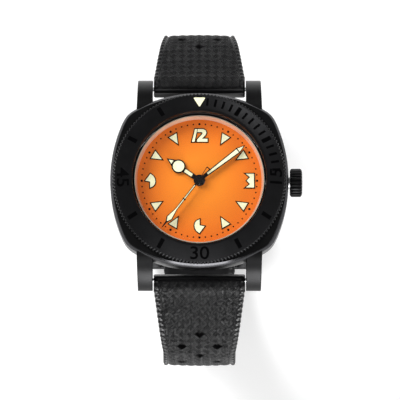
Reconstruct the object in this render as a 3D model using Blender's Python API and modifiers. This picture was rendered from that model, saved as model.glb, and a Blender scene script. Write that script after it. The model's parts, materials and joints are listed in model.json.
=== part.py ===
"""Dive watch on a rubber strap, an assembly of separate pieces.

Sizes are millimetres in the constants below and are turned into metres by the shape builders.
The origin is the centre of the flat outer face of the case back. +Z points out through the dial,
+Y points to twelve o'clock and +X points to the crown.
"""

import math

import bmesh
import bpy
from mathutils import Matrix, Vector

MM = 0.001
STEPS = 40          # facets round large turned pieces
SMALL_STEPS = 12    # facets round arbors
GAP = 0.1           # running clearance between neighbours
FIT_GAP = 0.07      # radial clearance between tubes that turn inside each other

# Case
CASE_HALF_X = 19.1
CASE_HALF_Y = 19.0
CASE_SIDE_R = 31.0      # bow of the long sides
CASE_END_R = 28.3       # bow of the ends between the lugs
CORNER_POWER = 60       # higher is a tighter corner between side and end
CASE_POINTS = 56
# (height, inset of the outline there)
CASE_LAYERS = ((1.3, 2.1), (2.4, 0.4), (4.2, 0.0), (6.9, 0.0), (8.3, 0.25), (8.8, 0.75))
CASE_BOTTOM = 1.3
CASE_TOP = 8.8
CASE_BORE_R = 14.0
LUG_GAP = 20.0
LUG_WIDTH = 3.2
LUG_TIP_Y = 23.0
SPRING_BAR_Y = 20.9
SPRING_BAR_Z = 2.9
SPRING_BAR_R = 0.8
BAR_TIP_R = 0.45
BAR_TIP_REACH = 1.4
BAR_TIP_TRAVEL = 1.5
BAR_TIP_HELD = 1.6

# Back
BACK_R = 15.2
BACK_PLATE = 1.2
BACK_NECK = 1.0
BACK_WALL = 0.9

# Crystal, bezel and dial
CRYSTAL_R = 14.25
CRYSTAL_SEAT = 9.4
CRYSTAL_EDGE = 1.9
CRYSTAL_DOME = 1.5
CRYSTAL_WALL = 1.6
GASKET_WALL = 0.4
NECK_WALL = 0.9
NECK_TOP = 10.0
BEZEL_R = 18.6
BEZEL_TOP = 11.6
BEZEL_OUTER_TOP = 10.5
BEZEL_LIP = 0.6
TRIANGLE_TIP = 15.4
TRIANGLE_BASE = 17.5
DIAL_THICK = 0.4
DIAL_Z = 6.95
DIAL_HOLE_R = 1.25
FLANGE_WALL = 0.5

# Crown and stem
CROWN_R = 3.05
CROWN_LENGTH = 2.7
CROWN_Z = 4.9
STEM_R = 0.45
TUBE_R = 1.3
STEM_INNER_X = 6.0

# Movement
MOVEMENT_R = 12.8
BRIDGE_Z = 2.35
BRIDGE_THICK = 0.55
PLATE_Z = 5.6
PLATE_THICK = 0.7
ROTOR_Z = 1.35
ROTOR_R = 12.3
BEARING_R = 2.0
ARBOR_R = 0.15
BARREL_PIVOT_R = 0.25
CROWN_SCREW_R = 0.3

# Gear train: teeth, and centre distances that the modules are worked out from
CENTRE_TEETH = 48
CENTRE_LEAVES = 6
THIRD_TEETH = 45
THIRD_LEAVES = 6
FOURTH_TEETH = 60
FOURTH_LEAVES = 6
ESCAPE_LEAVES = 6
ESCAPE_TEETH = 18
BARREL_TEETH = 36
CANNON_TEETH = 8
MINUTE_TEETH = 24
MINUTE_LEAVES = 6
HOUR_TEETH = 24
WINDING_TEETH = 10
CROWN_WHEEL_TEETH = 26
RATCHET_TEETH = 26
WINDING_MODULE = 0.22
THIRD_DISTANCE = 6.0
THIRD_ANGLE = math.radians(155)
BARREL_DISTANCE = 5.9
BARREL_ANGLE = math.radians(57.2)
ESCAPE_DISTANCE = 6.0
ESCAPE_ANGLE = math.radians(285)
MINUTE_DISTANCE = 3.6
MINUTE_ANGLE = math.radians(-30)
BALANCE_AT = (-4.5, -6.9)
BALANCE_R = 2.9
WHEEL_SHAPE = (0.80, 1.20, 0.0, 0.50)
PINION_SHAPE = (0.55, 1.25, 0.14, 0.36)
EQUAL_SHAPE = (0.80, 1.20, 0.0, 0.52)

# Hands
HOUR_HAND_Z = 7.75
MINUTE_HAND_Z = 8.2
SECOND_HAND_Z = 8.65
HAND_THICK = 0.2
HOUR_ANGLE = 304.3
MINUTE_HAND_ANGLE = 52.3
SECOND_ANGLE = 217.5

# Strap
STRAP_ROOM = 0.4          # side clearance of the strap between the lugs
STRAP_WIDTH = LUG_GAP - STRAP_ROOM
STRAP_END_WIDTH = 15.6
TAPER_START = 5.0
TAPER_RUN = 17.0
STRAP_LUG_THICK = 3.6
STRAP_THICK = 2.2
LOOP_UPPER_R = 16.7
LOOP_LOWER_R = 26.0
LUG_SLOPE = math.radians(26)
TURN_SLOPE = math.radians(43)
STRAP_UPPER = 13.9
LAYER_GAP = 0.3
HOLE_SIZE = 1.9
HOLE_PITCH = 6.4
BUCKLE_Y = -1.0
CROSSBAR_Y = -9.0
BUCKLE_BAR_R = 0.75
BUCKLE_WIDTH = 21.5
KEEPER_WIDTH = 5.0
KEEPER_WALL = 1.0
KEEPER_ROOM = 0.3
FIXED_KEEPER_BACK = 5.6
FREE_KEEPER_BACK = 21.0


def clear_scene():
    for obj in list(bpy.data.objects):
        bpy.data.objects.remove(obj, do_unlink=True)


def new_collection(name):
    made = bpy.data.collections.new(name)
    bpy.context.scene.collection.children.link(made)
    return made


clear_scene()
PARTS = new_collection("dive_watch")
CUTTERS = new_collection("cutters")


def material(name, colour, roughness, metallic, alpha=1.0):
    made = bpy.data.materials.new(name)
    made.use_nodes = True
    shader = made.node_tree.nodes["Principled BSDF"]
    shader.inputs["Base Color"].default_value = (*colour, 1.0)
    shader.inputs["Roughness"].default_value = roughness
    shader.inputs["Metallic"].default_value = metallic
    shader.inputs["Alpha"].default_value = alpha
    return made


BLACK_STEEL = material("black_steel", (0.035, 0.035, 0.037), 0.42, 0.6)
STEEL = material("steel", (0.55, 0.55, 0.56), 0.3, 1.0)
BRASS = material("brass", (0.78, 0.57, 0.25), 0.32, 1.0)
RUBY_SEAL = material("seal", (0.02, 0.02, 0.02), 0.7, 0.0)
ORANGE = material("orange_dial", (0.95, 0.27, 0.03), 0.4, 0.0)
LUME = material("lume", (0.95, 0.93, 0.68), 0.5, 0.0)
GLASS = material("glass", (0.95, 0.97, 1.0), 0.03, 0.0, 0.2)
RUBBER = material("rubber", (0.012, 0.012, 0.012), 0.6, 0.0)


# ---------------------------------------------------------------- shape builders

def place(obj, at=(0, 0, 0)):
    obj.location = Vector(at) * MM
    return obj


def object_from(bm, name):
    bmesh.ops.recalc_face_normals(bm, faces=bm.faces)
    mesh = bpy.data.meshes.new(name)
    bm.to_mesh(mesh)
    bm.free()
    return bpy.data.objects.new(name, mesh)


def profile_area(points):
    following = points[1:] + points[:1]
    return sum(a[0] * b[1] - b[0] * a[1] for a, b in zip(points, following)) / 2


def turned(name, profile, steps=STEPS):
    """A closed (radius, height) outline turned about Z, run so that its outer side goes down."""
    points = list(profile)
    if profile_area(points) > 0:
        points.reverse()
    mesh = bpy.data.meshes.new(name)
    vertices = [(r * MM, 0, z * MM) for r, z in points]
    edges = [(k, (k + 1) % len(points)) for k in range(len(points))]
    on_axis = [k for k, point in enumerate(points) if point[0] == 0]
    if len(on_axis) == 2:
        edges = [edge for edge in edges if set(edge) != set(on_axis)]
    mesh.from_pydata(vertices, edges, [])
    obj = bpy.data.objects.new(name, mesh)
    screw = obj.modifiers.new("turn", "SCREW")
    screw.steps = steps
    screw.render_steps = steps
    screw.use_merge_vertices = True
    screw.merge_threshold = 1e-6
    screw.use_smooth_shade = False
    return obj


def ring(name, inner, outer, low, high, steps=STEPS):
    return turned(name, [(inner, low), (outer, low), (outer, high), (inner, high)], steps)


def disc(name, radius, low, high, steps=SMALL_STEPS):
    return turned(name, [(0, low), (radius, low), (radius, high), (0, high)], steps)


def along_x(obj):
    """Turns a piece built on Z so that its axis lies on X."""
    obj.rotation_euler = (0, math.pi / 2, 0)
    return obj


def rod_x(name, radius, x_low, x_high, at, steps=SMALL_STEPS):
    return place(along_x(disc(name, radius, x_low, x_high, steps)), at)


def box(name, low, high):
    bm = bmesh.new()
    bmesh.ops.create_cube(bm, size=1.0)
    for vertex in bm.verts:
        for axis in range(3):
            share = vertex.co[axis] + 0.5
            vertex.co[axis] = (low[axis] + (high[axis] - low[axis]) * share) * MM
    return object_from(bm, name)


def slab_x(name, outline, x_low, x_high):
    """A (y, z) outline given width along X."""
    slab = extruded(name, [(y, z) for y, z in outline], x_low, x_high)
    slab.rotation_euler = (math.pi / 2, 0, math.pi / 2)
    return slab


def extruded(name, outline, low, high, turn=0.0):
    """A flat outline in XY given thickness from low to high."""
    curve = bpy.data.curves.new(name, "CURVE")
    curve.dimensions = "2D"
    curve.fill_mode = "BOTH"
    curve.extrude = (high - low) / 2 * MM
    spline = curve.splines.new("POLY")
    spline.points.add(len(outline) - 1)
    for point, (x, y) in zip(spline.points, outline):
        point.co = (x * MM, y * MM, 0, 1)
    spline.use_cyclic_u = True
    source = bpy.data.objects.new(name, curve)
    CUTTERS.objects.link(source)
    bpy.context.view_layer.update()
    graph = bpy.context.evaluated_depsgraph_get()
    mesh = bpy.data.meshes.new_from_object(source.evaluated_get(graph))
    bpy.data.objects.remove(source, do_unlink=True)
    bm = bmesh.new()
    bm.from_mesh(mesh)
    bpy.data.meshes.remove(mesh)
    bmesh.ops.remove_doubles(bm, verts=bm.verts, dist=1e-7)
    bmesh.ops.dissolve_limit(bm, angle_limit=0.001, verts=bm.verts, edges=bm.edges)
    bmesh.ops.transform(bm, verts=bm.verts, matrix=Matrix.Translation((0, 0, (low + high) / 2 * MM)))
    bmesh.ops.rotate(bm, verts=bm.verts, matrix=Matrix.Rotation(turn, 3, "Z"))
    return object_from(bm, name)


def boolean(obj, others, operation):
    """Joins or cuts obj with helper objects, which are kept hidden in the cutters collection."""
    for other in others:
        CUTTERS.objects.link(other)
        other.hide_render = True
        other.display_type = "WIRE"
        other.parent = obj
        other.matrix_parent_inverse = obj.matrix_basis.inverted()
        modifier = obj.modifiers.new(other.name, "BOOLEAN")
        modifier.operation = operation
        modifier.solver = "EXACT"
        modifier.object = other
    return obj


def join(obj, *others):
    return boolean(obj, others, "UNION")


def cut(obj, *others):
    return boolean(obj, others, "DIFFERENCE")


def part(obj, look):
    """Hands a finished piece over to the watch with its material."""
    obj.data.materials.append(look)
    PARTS.objects.link(obj)
    return obj


def polar(radius, angle):
    return (radius * math.cos(angle), radius * math.sin(angle))


def clock(degrees):
    """The XY angle of a clock direction, measured clockwise from twelve."""
    return math.radians(90 - degrees)


def gear_outline(teeth, module, shape, phase=0.0):
    addendum, dedendum, tip, root = shape
    pitch = 2 * math.pi / teeth
    outer = module * (teeth / 2 + addendum)
    inner = module * (teeth / 2 - dedendum)
    crest = ((outer, -tip / 2), (outer, tip / 2)) if tip else ((outer, 0.0),)
    corners = ((inner, -root / 2), *crest, (inner, root / 2))
    return [polar(r, phase + (k + share) * pitch) for k in range(teeth) for r, share in corners]


def meshed_phase(teeth, angle):
    """Turns a gear so that a gap faces back along the line of centres."""
    return angle + math.pi + math.pi / teeth


def phase_to_mesh(teeth, line, other_teeth, other_phase):
    """The phase that meshes a gear with another whose own phase is already set, along a line from it."""
    return line + math.pi - (other_phase - line) * other_teeth / teeth - math.pi / teeth


def arbor(name, low, high, radius=ARBOR_R):
    return disc(name, radius, low, high, 12)


# ---------------------------------------------------------------- case

def lug_outline():
    """Side outline of one lug in (Y, Z), from inside the case wall out to the tip."""
    return [(13.5, 2.0), (19.5, 1.1), (22.2, 0.6), (LUG_TIP_Y, 1.2), (LUG_TIP_Y, 2.7),
            (21.6, 4.9), (19.6, 6.8), (17.6, 8.0), (13.5, 8.4)]


def lug(name, side_x, side_y):
    inner = LUG_GAP / 2
    bm = bmesh.new()
    outline = lug_outline()
    flare = 0.35
    near = [bm.verts.new((inner * side_x * MM, y * side_y * MM, z * MM)) for y, z in outline]
    far = []
    for y, z in outline:
        outer = inner + LUG_WIDTH + flare * (LUG_TIP_Y - y) / (LUG_TIP_Y - outline[0][0])
        far.append(bm.verts.new((outer * side_x * MM, y * side_y * MM, z * MM)))
    count = len(outline)
    bm.faces.new(near)
    bm.faces.new(list(reversed(far)))
    for k in range(count):
        following = (k + 1) % count
        bm.faces.new((near[following], near[k], far[k], far[following]))
    return object_from(bm, name)


def reach_of_arc(angle, half, radius, along_y):
    """Distance from the origin to an arc that bows out to half on the X or the Y axis."""
    setback = radius - half
    part_along = math.sin(angle) if along_y else math.cos(angle)
    b = setback * abs(part_along)
    return math.sqrt(b * b + radius ** 2 - setback ** 2) - b


def case_outline(inset, height):
    points = []
    for k in range(CASE_POINTS):
        angle = 2 * math.pi * k / CASE_POINTS
        side = reach_of_arc(angle, CASE_HALF_X - inset, CASE_SIDE_R, False)
        end = reach_of_arc(angle, CASE_HALF_Y - inset, CASE_END_R, True)
        reach = (side ** -CORNER_POWER + end ** -CORNER_POWER) ** (-1 / CORNER_POWER)
        points.append((*polar(reach, angle), height))
    return points


def make_case():
    neck_inner = CRYSTAL_R + GASKET_WALL + 2 * GAP
    case = loft("case_middle", [case_outline(inset, height) for height, inset in CASE_LAYERS])
    neck = ring("case_neck", neck_inner - 1, neck_inner + NECK_WALL, CASE_TOP - 1, NECK_TOP)
    lugs = [lug(f"lug_{x}_{y}", x, y) for x in (-1, 1) for y in (-1, 1)]
    join(case, neck, *lugs)
    holes = [disc("case_bore", CASE_BORE_R, 0, CRYSTAL_SEAT, STEPS),
             disc("crystal_bore", neck_inner, CRYSTAL_SEAT - GAP, NECK_TOP + 1, STEPS),
             ring("gasket_groove", 14.3, 15.05, 0.5, 1.75)]
    for side in (-1, 1):
        at = (0, side * SPRING_BAR_Y, SPRING_BAR_Z)
        reach = LUG_GAP / 2 + BAR_TIP_REACH + GAP
        holes.append(rod_x(f"lug_hole_{side}", BAR_TIP_R + GAP, -reach, reach, at))
    holes.append(rod_x("tube_hole", TUBE_R + 0.05, CASE_BORE_R - 2, CASE_HALF_X + 3, (0, 0, CROWN_Z), 24))
    cut(case, *holes)
    part(case, BLACK_STEEL)


def make_back():
    neck_r = CASE_BORE_R - GAP
    top = BACK_PLATE + BACK_NECK
    back = turned("case_back", [(0, 0), (BACK_R - 0.4, 0), (BACK_R, 0.4), (BACK_R, BACK_PLATE),
                                (neck_r, BACK_PLATE), (neck_r, top), (neck_r - BACK_WALL, top),
                                (neck_r - BACK_WALL, BACK_PLATE), (0, BACK_PLATE)])
    notches = []
    for k in range(6):
        notch = box(f"back_notch_{k}", (BACK_R - 1.4, -0.9, -1), (BACK_R + 1, 0.9, 0.6))
        notch.rotation_euler = (0, 0, k * math.pi / 3)
        notches.append(notch)
    cut(back, *notches)
    part(back, BLACK_STEEL)
    part(ring("case_back_gasket", 14.4, 14.95, 1.27, 1.65, 48), RUBY_SEAL)


def make_crystal():
    low = CRYSTAL_SEAT
    edge = low + CRYSTAL_EDGE
    bevel = 0.25
    steps = 5
    dome = [(CRYSTAL_R - bevel) * (1 - k / steps) for k in range(steps + 1)]
    top = [(r, edge + CRYSTAL_DOME * (1 - (r / CRYSTAL_R) ** 2)) for r in dome]
    under_r = CRYSTAL_R - 0.9
    under = [(under_r * k / 3, low + (edge + CRYSTAL_DOME - CRYSTAL_WALL - low) * (1 - (k / 3) ** 2))
             for k in range(4)]
    part(turned("crystal", [*under, (CRYSTAL_R, low), (CRYSTAL_R, edge - bevel), *top]), GLASS)
    inner = CRYSTAL_R + GAP
    part(ring("crystal_gasket", inner, inner + GASKET_WALL, low, NECK_TOP - 0.1), RUBY_SEAL)
    outer = CASE_BORE_R - GAP
    floor = DIAL_Z + DIAL_THICK + GAP
    flange = [(outer - FLANGE_WALL, floor), (outer, floor),
              (outer, CRYSTAL_SEAT - GAP), (outer - 0.25, CRYSTAL_SEAT - GAP)]
    part(turned("inner_flange_ring", flange), STEEL)


def make_bezel():
    neck_outer = CRYSTAL_R + GASKET_WALL + 2 * GAP + NECK_WALL
    inner = neck_outer + GAP
    lip_inner = CRYSTAL_R + GAP
    lip_low = NECK_TOP + GAP
    low = CASE_TOP + GAP
    spring_low = CASE_TOP + 0.75
    bezel = turned("bezel", [
        (inner, low), (16.1, low), (16.1, spring_low), (17.7, spring_low), (17.7, low), (18.1, low),
        (BEZEL_R, low + 0.5), (BEZEL_R, BEZEL_OUTER_TOP - 0.3), (BEZEL_R - 0.3, BEZEL_OUTER_TOP),
        (lip_inner + BEZEL_LIP, BEZEL_TOP), (lip_inner, BEZEL_TOP - 0.15), (lip_inner, lip_low),
        (inner, lip_low)])
    outline = [(TRIANGLE_TIP - 0.2, 0.0), (TRIANGLE_BASE + 0.1, -1.4), (TRIANGLE_BASE + 0.1, 1.4)]
    floor = NECK_TOP + 0.35
    pocket = extruded("triangle_pocket", outline, floor, BEZEL_TOP + 1, math.pi / 2)
    cut(bezel, pocket)
    part(bezel, BLACK_STEEL)
    outline = [(TRIANGLE_TIP, 0.0), (TRIANGLE_BASE, -1.22), (TRIANGLE_BASE, 1.22)]
    insert = extruded("bezel_lume_triangle", outline, floor + GAP, floor + 0.45, math.pi / 2)
    part(insert, LUME)
    spring = ring("bezel_click_spring", 16.3, 17.5, CASE_TOP + 0.1, CASE_TOP + 0.3, 48)
    tab = box("click_tab", (16.5, -1.2, CASE_TOP + 0.2), (17.3, 1.2, CASE_TOP + 0.6))
    part(join(spring, tab), STEEL)


def make_dial():
    part(ring("dial", DIAL_HOLE_R, CASE_BORE_R - GAP, DIAL_Z, DIAL_Z + DIAL_THICK), ORANGE)


# ---------------------------------------------------------------- hands

def hand(name, outline, boss_r, bore_r, low, angle, boss_low):
    """A flat hand pointing along +X in its outline, turned to its clock angle."""
    blade = extruded(name, outline, low, low + HAND_THICK, clock(angle))
    boss = disc(name + "_boss", boss_r, boss_low, low + HAND_THICK + 0.08, 24)
    join(blade, boss)
    if bore_r:
        cut(blade, disc(name + "_bore", bore_r, boss_low - 1, low + HAND_THICK + 1, SMALL_STEPS))
    return blade


def circle_points(x, radius, start, end, count):
    return [(x + radius * math.cos(a), radius * math.sin(a))
            for a in (start + (end - start) * k / count for k in range(count + 1))]


def make_hands():
    lume_disc = circle_points(5.4, 1.45, math.radians(-157), math.radians(-25), 7)
    upper = [(x, -y) for x, y in reversed(lume_disc)]
    hour = [(0.0, -0.55), *lume_disc, (8.45, -0.05), (8.45, 0.05), *upper, (0.0, 0.55)]
    part(hand("hour_hand", hour, 1.5, 0.95 + FIT_GAP, HOUR_HAND_Z, HOUR_ANGLE, HOUR_HAND_Z - 0.1), STEEL)
    minute = [(0.0, -0.38), (10.6, -0.6), (12.4, -0.05), (12.4, 0.05), (10.6, 0.6), (0.0, 0.38)]
    part(hand("minute_hand", minute, 1.3, 0.62 + FIT_GAP, MINUTE_HAND_Z, MINUTE_HAND_ANGLE,
              MINUTE_HAND_Z - 0.1), STEEL)
    second = [(-3.3, 0.45), (-3.3, -0.45), (-0.8, -0.14), (8.2, -0.16), (10.6, -0.62), (13.0, -0.05),
              (13.0, 0.05), (10.6, 0.62), (8.2, 0.16), (-0.8, 0.14)]
    part(hand("second_hand", second, 0.9, 0, SECOND_HAND_Z, SECOND_ANGLE, SECOND_HAND_Z - 0.05), STEEL)


# ---------------------------------------------------------------- crown and stem

def crown_ridges(count):
    ridge = 0.2
    pitch = 2 * math.pi / count
    shape = ((CROWN_R - ridge, 0.0), (CROWN_R, 0.25), (CROWN_R, 0.7))
    return [polar(r, (k + share) * pitch) for k in range(count) for r, share in shape]


def make_crown():
    start = CASE_HALF_X + 0.3
    end = start + CROWN_LENGTH - 0.3
    crown = extruded("crown", crown_ridges(20), start, end)
    cap = turned("crown_cap", [(0, end - 0.5), (CROWN_R - 0.6, end - 0.5), (CROWN_R - 0.5, end),
                               (CROWN_R - 0.9, end + 0.3), (0, end + 0.3)], 24)
    join(crown, cap)
    cut(crown, disc("crown_bore", TUBE_R + 0.35, start - 1, end - 0.7, 24))
    pin = disc("crown_post", 0.7, end - 1.0, end - 0.4, SMALL_STEPS)
    join(crown, pin)
    part(place(along_x(crown), (0, 0, CROWN_Z)), BLACK_STEEL)
    tube = ring("crown_tube", 0.75, TUBE_R, CASE_BORE_R + 0.05, start + 1.0, 24)
    part(place(along_x(tube), (0, 0, CROWN_Z)), STEEL)
    gasket = ring("crown_gasket", 0.82, 1.5, start + 1.06, start + 1.4, 24)
    part(place(along_x(gasket), (0, 0, CROWN_Z)), RUBY_SEAL)
    part(rod_x("winding_stem", STEM_R, STEM_INNER_X, end - 1.05, (0, 0, CROWN_Z)), STEEL)


def make_keyless():
    tip_r = WINDING_MODULE * (WINDING_TEETH / 2 + EQUAL_SHAPE[0])
    mesh_x = CROWN_WHEEL_X + WINDING_MODULE * CROWN_WHEEL_TEETH / 2
    teeth = gear_outline(WINDING_TEETH, WINDING_MODULE, (0.9, 1.2, 0.14, 0.36), 0)
    winding = extruded("winding_pinion", teeth, mesh_x - 0.3, mesh_x + 0.5)
    cut(winding, disc("winding_bore", STEM_R + FIT_GAP, 0, 20))
    part(place(along_x(winding), (0, 0, CROWN_Z)), STEEL)
    bore_r = STEM_R + FIT_GAP
    sliding = turned("sliding_pinion", [
        (bore_r, 9.9), (tip_r, 9.9), (tip_r, 10.3), (0.85, 10.4),
        (0.85, 10.7), (tip_r, 10.8), (tip_r, 11.2), (bore_r, 11.2)], 20)
    part(place(along_x(sliding), (0, 0, CROWN_Z)), STEEL)


# ---------------------------------------------------------------- movement

def module_for(distance, teeth_a, teeth_b):
    return 2 * distance / (teeth_a + teeth_b)


BARREL_AT = polar(BARREL_DISTANCE, BARREL_ANGLE)
THIRD_AT = polar(THIRD_DISTANCE, THIRD_ANGLE)
ESCAPE_AT = polar(ESCAPE_DISTANCE, ESCAPE_ANGLE)
MINUTE_AT = polar(MINUTE_DISTANCE, MINUTE_ANGLE)
WINDING_REACH = WINDING_MODULE * (CROWN_WHEEL_TEETH + RATCHET_TEETH) / 2
CROWN_WHEEL_X = BARREL_AT[0] + math.sqrt(WINDING_REACH ** 2 - BARREL_AT[1] ** 2)


def spoked(name, teeth, module, low, high, phase, windows=3):
    wheel = extruded(name, gear_outline(teeth, module, WHEEL_SHAPE, phase), low, high)
    radius = module * teeth / 2
    spread = math.radians(38)
    outline = [polar(radius * 0.36, 0.0), polar(radius * 0.78, -spread), polar(radius * 0.78, spread)]
    turns = [2 * math.pi * (k + 0.5) / windows for k in range(windows)]
    return cut(wheel, *[extruded(f"{name}_window_{k}", outline, low - 1, high + 1, turn)
                        for k, turn in enumerate(turns)])


def make_train():
    centre_module = module_for(THIRD_DISTANCE, CENTRE_TEETH, THIRD_LEAVES)
    third_module = module_for(THIRD_DISTANCE, THIRD_TEETH, FOURTH_LEAVES)
    barrel_module = module_for(BARREL_DISTANCE, BARREL_TEETH, CENTRE_LEAVES)
    escape_module = module_for(ESCAPE_DISTANCE, FOURTH_TEETH, ESCAPE_LEAVES)

    centre = spoked("centre_wheel", CENTRE_TEETH, centre_module, 5.17, 5.37, THIRD_ANGLE)
    phase = meshed_phase(CENTRE_LEAVES, BARREL_ANGLE + math.pi)
    outline = gear_outline(CENTRE_LEAVES, barrel_module, PINION_SHAPE, phase)
    leaves = extruded("centre_pinion", outline, 3.95, 4.4)
    tube = disc("centre_tube", 0.38, 3.9, 7.9)
    join(centre, leaves, tube)
    cut(centre, disc("centre_bore", 0.22, 3, 9))
    part(centre, BRASS)

    third = spoked("third_wheel", THIRD_TEETH, third_module, 3.42, 3.62, THIRD_ANGLE + math.pi)
    phase = meshed_phase(THIRD_LEAVES, THIRD_ANGLE)
    outline = gear_outline(THIRD_LEAVES, centre_module, PINION_SHAPE, phase)
    leaves = extruded("third_pinion", outline, 4.95, 5.5)
    join(third, leaves, arbor("third_arbor", 2.4, 6.2))
    part(place(third, (*THIRD_AT, 0)), BRASS)

    fourth = spoked("fourth_wheel", FOURTH_TEETH, escape_module, 3.03, 3.2, ESCAPE_ANGLE)
    phase = meshed_phase(FOURTH_LEAVES, THIRD_ANGLE + math.pi)
    outline = gear_outline(FOURTH_LEAVES, third_module, PINION_SHAPE, phase)
    leaves = extruded("fourth_pinion", outline, 3.1, 3.75)
    join(fourth, leaves, arbor("fourth_arbor", 2.4, SECOND_HAND_Z - 0.12))
    part(fourth, BRASS)

    escape = escape_wheel()
    leaves = extruded("escape_pinion", gear_outline(
        ESCAPE_LEAVES, escape_module, PINION_SHAPE, meshed_phase(ESCAPE_LEAVES, ESCAPE_ANGLE)), 3.0, 3.35)
    join(escape, leaves, arbor("escape_arbor", 2.4, 6.2, 0.12))
    part(place(escape, (*ESCAPE_AT, 0)), STEEL)
    make_barrel(barrel_module)


def escape_wheel():
    pitch = 2 * math.pi / ESCAPE_TEETH
    outline = []
    for k in range(ESCAPE_TEETH):
        outline += [polar(1.6, k * pitch), polar(2.1, (k + 0.12) * pitch), polar(2.08, (k + 0.3) * pitch)]
    return extruded("escape_wheel", outline, 4.8, 5.0)


def spiral(name, inner, outer, turns, wall, low, high, per_turn=12):
    """A flat spiral strip between two radii."""
    count = int(turns * per_turn)
    inside = []
    outside = []
    for k in range(count + 1):
        angle = 2 * math.pi * k / per_turn
        radius = inner + (outer - inner - wall) * k / count
        inside.append(polar(radius, angle))
        outside.append(polar(radius + wall, angle))
    return extruded(name, inside + list(reversed(outside)), low, high)


def make_barrel(module):
    teeth = gear_outline(BARREL_TEETH, module, WHEEL_SHAPE, BARREL_ANGLE + math.pi)
    drum = extruded("barrel_drum", teeth, 4.0, 4.25)
    wall = disc("barrel_wall", 4.8, 4.1, 5.05, 48)
    join(drum, wall)
    cut(drum, disc("barrel_cavity", 4.45, 4.3, 6, 48), disc("barrel_bore", 0.7, 3, 6))
    part(place(drum, (*BARREL_AT, 0)), BRASS)
    part(place(spiral("mainspring", 0.75, 4.3, 3, 0.3, 4.4, 4.95), (*BARREL_AT, 0)), STEEL)
    crown_phase = math.pi / CROWN_WHEEL_TEETH
    line = math.atan2(BARREL_AT[1], BARREL_AT[0] - CROWN_WHEEL_X)
    ratchet_phase = phase_to_mesh(RATCHET_TEETH, line, CROWN_WHEEL_TEETH, crown_phase)
    ratchet = extruded("ratchet_wheel", gear_outline(
        RATCHET_TEETH, WINDING_MODULE, EQUAL_SHAPE, ratchet_phase), 3.45, 3.75)
    cut(ratchet, disc("ratchet_bore", 0.62, 3, 5))
    part(place(ratchet, (*BARREL_AT, 0)), STEEL)
    arbor_profile = [(0, 2.4), (BARREL_PIVOT_R, 2.4), (BARREL_PIVOT_R, 3.3),
                     (0.55, 3.3), (0.55, 5.1), (0, 5.1)]
    part(place(turned("barrel_arbor", arbor_profile, SMALL_STEPS), (*BARREL_AT, 0)), STEEL)
    crown_wheel = extruded("crown_wheel", gear_outline(
        CROWN_WHEEL_TEETH, WINDING_MODULE, EQUAL_SHAPE, crown_phase), 3.45, 3.85)
    cut(crown_wheel, disc("crown_wheel_bore", CROWN_SCREW_R + FIT_GAP, 3, 5))
    part(place(crown_wheel, (CROWN_WHEEL_X, 0, 0)), STEEL)
    screw = turned("crown_wheel_screw", [(0, 2.4), (CROWN_SCREW_R, 2.4), (CROWN_SCREW_R, 3.88), (0.9, 3.88),
                                         (0.9, 3.96), (0, 3.96)], SMALL_STEPS)
    part(place(screw, (CROWN_WHEEL_X, 0, 0)), STEEL)


def make_balance():
    at = (*BALANCE_AT, 0)
    balance = ring("balance_wheel", BALANCE_R - 0.5, BALANCE_R, 4.15, 4.5, 40)
    arm = box("balance_arm", (-BALANCE_R + 0.2, -0.3, 4.2), (BALANCE_R - 0.2, 0.3, 4.45))
    roller = disc("balance_roller", 0.6, 4.95, 5.1)
    join(balance, arm, arbor("balance_staff", 2.4, 6.2), roller)
    part(place(balance, at), BRASS)
    part(place(spiral("hairspring", 0.35, 2.3, 3, 0.1, 3.7, 3.85), at), STEEL)
    toward = math.atan2(BALANCE_AT[1] - ESCAPE_AT[1], BALANCE_AT[0] - ESCAPE_AT[0])
    pivot = tuple(e + 2.95 * c for e, c in zip(ESCAPE_AT, (math.cos(toward), math.sin(toward))))
    outline = [(-0.5, -1.7), (-0.2, -1.7), (0.25, -0.3), (2.2, -0.12), (2.45, -0.35), (2.45, 0.35),
               (2.2, 0.12), (0.25, 0.3), (-0.2, 1.7), (-0.5, 1.7), (-0.3, 0.2), (-0.3, -0.2)]
    fork = extruded("pallet_fork", outline, 4.8, 4.95, toward)
    join(fork, arbor("pallet_arbor", 2.4, 6.2, 0.12))
    part(place(fork, (*pivot, 0)), STEEL)
    return pivot


def pivot_hole(name, at, radius, low, high):
    return place(disc(name, radius + 0.08, low, high, 12), (*at, 0))


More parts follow.
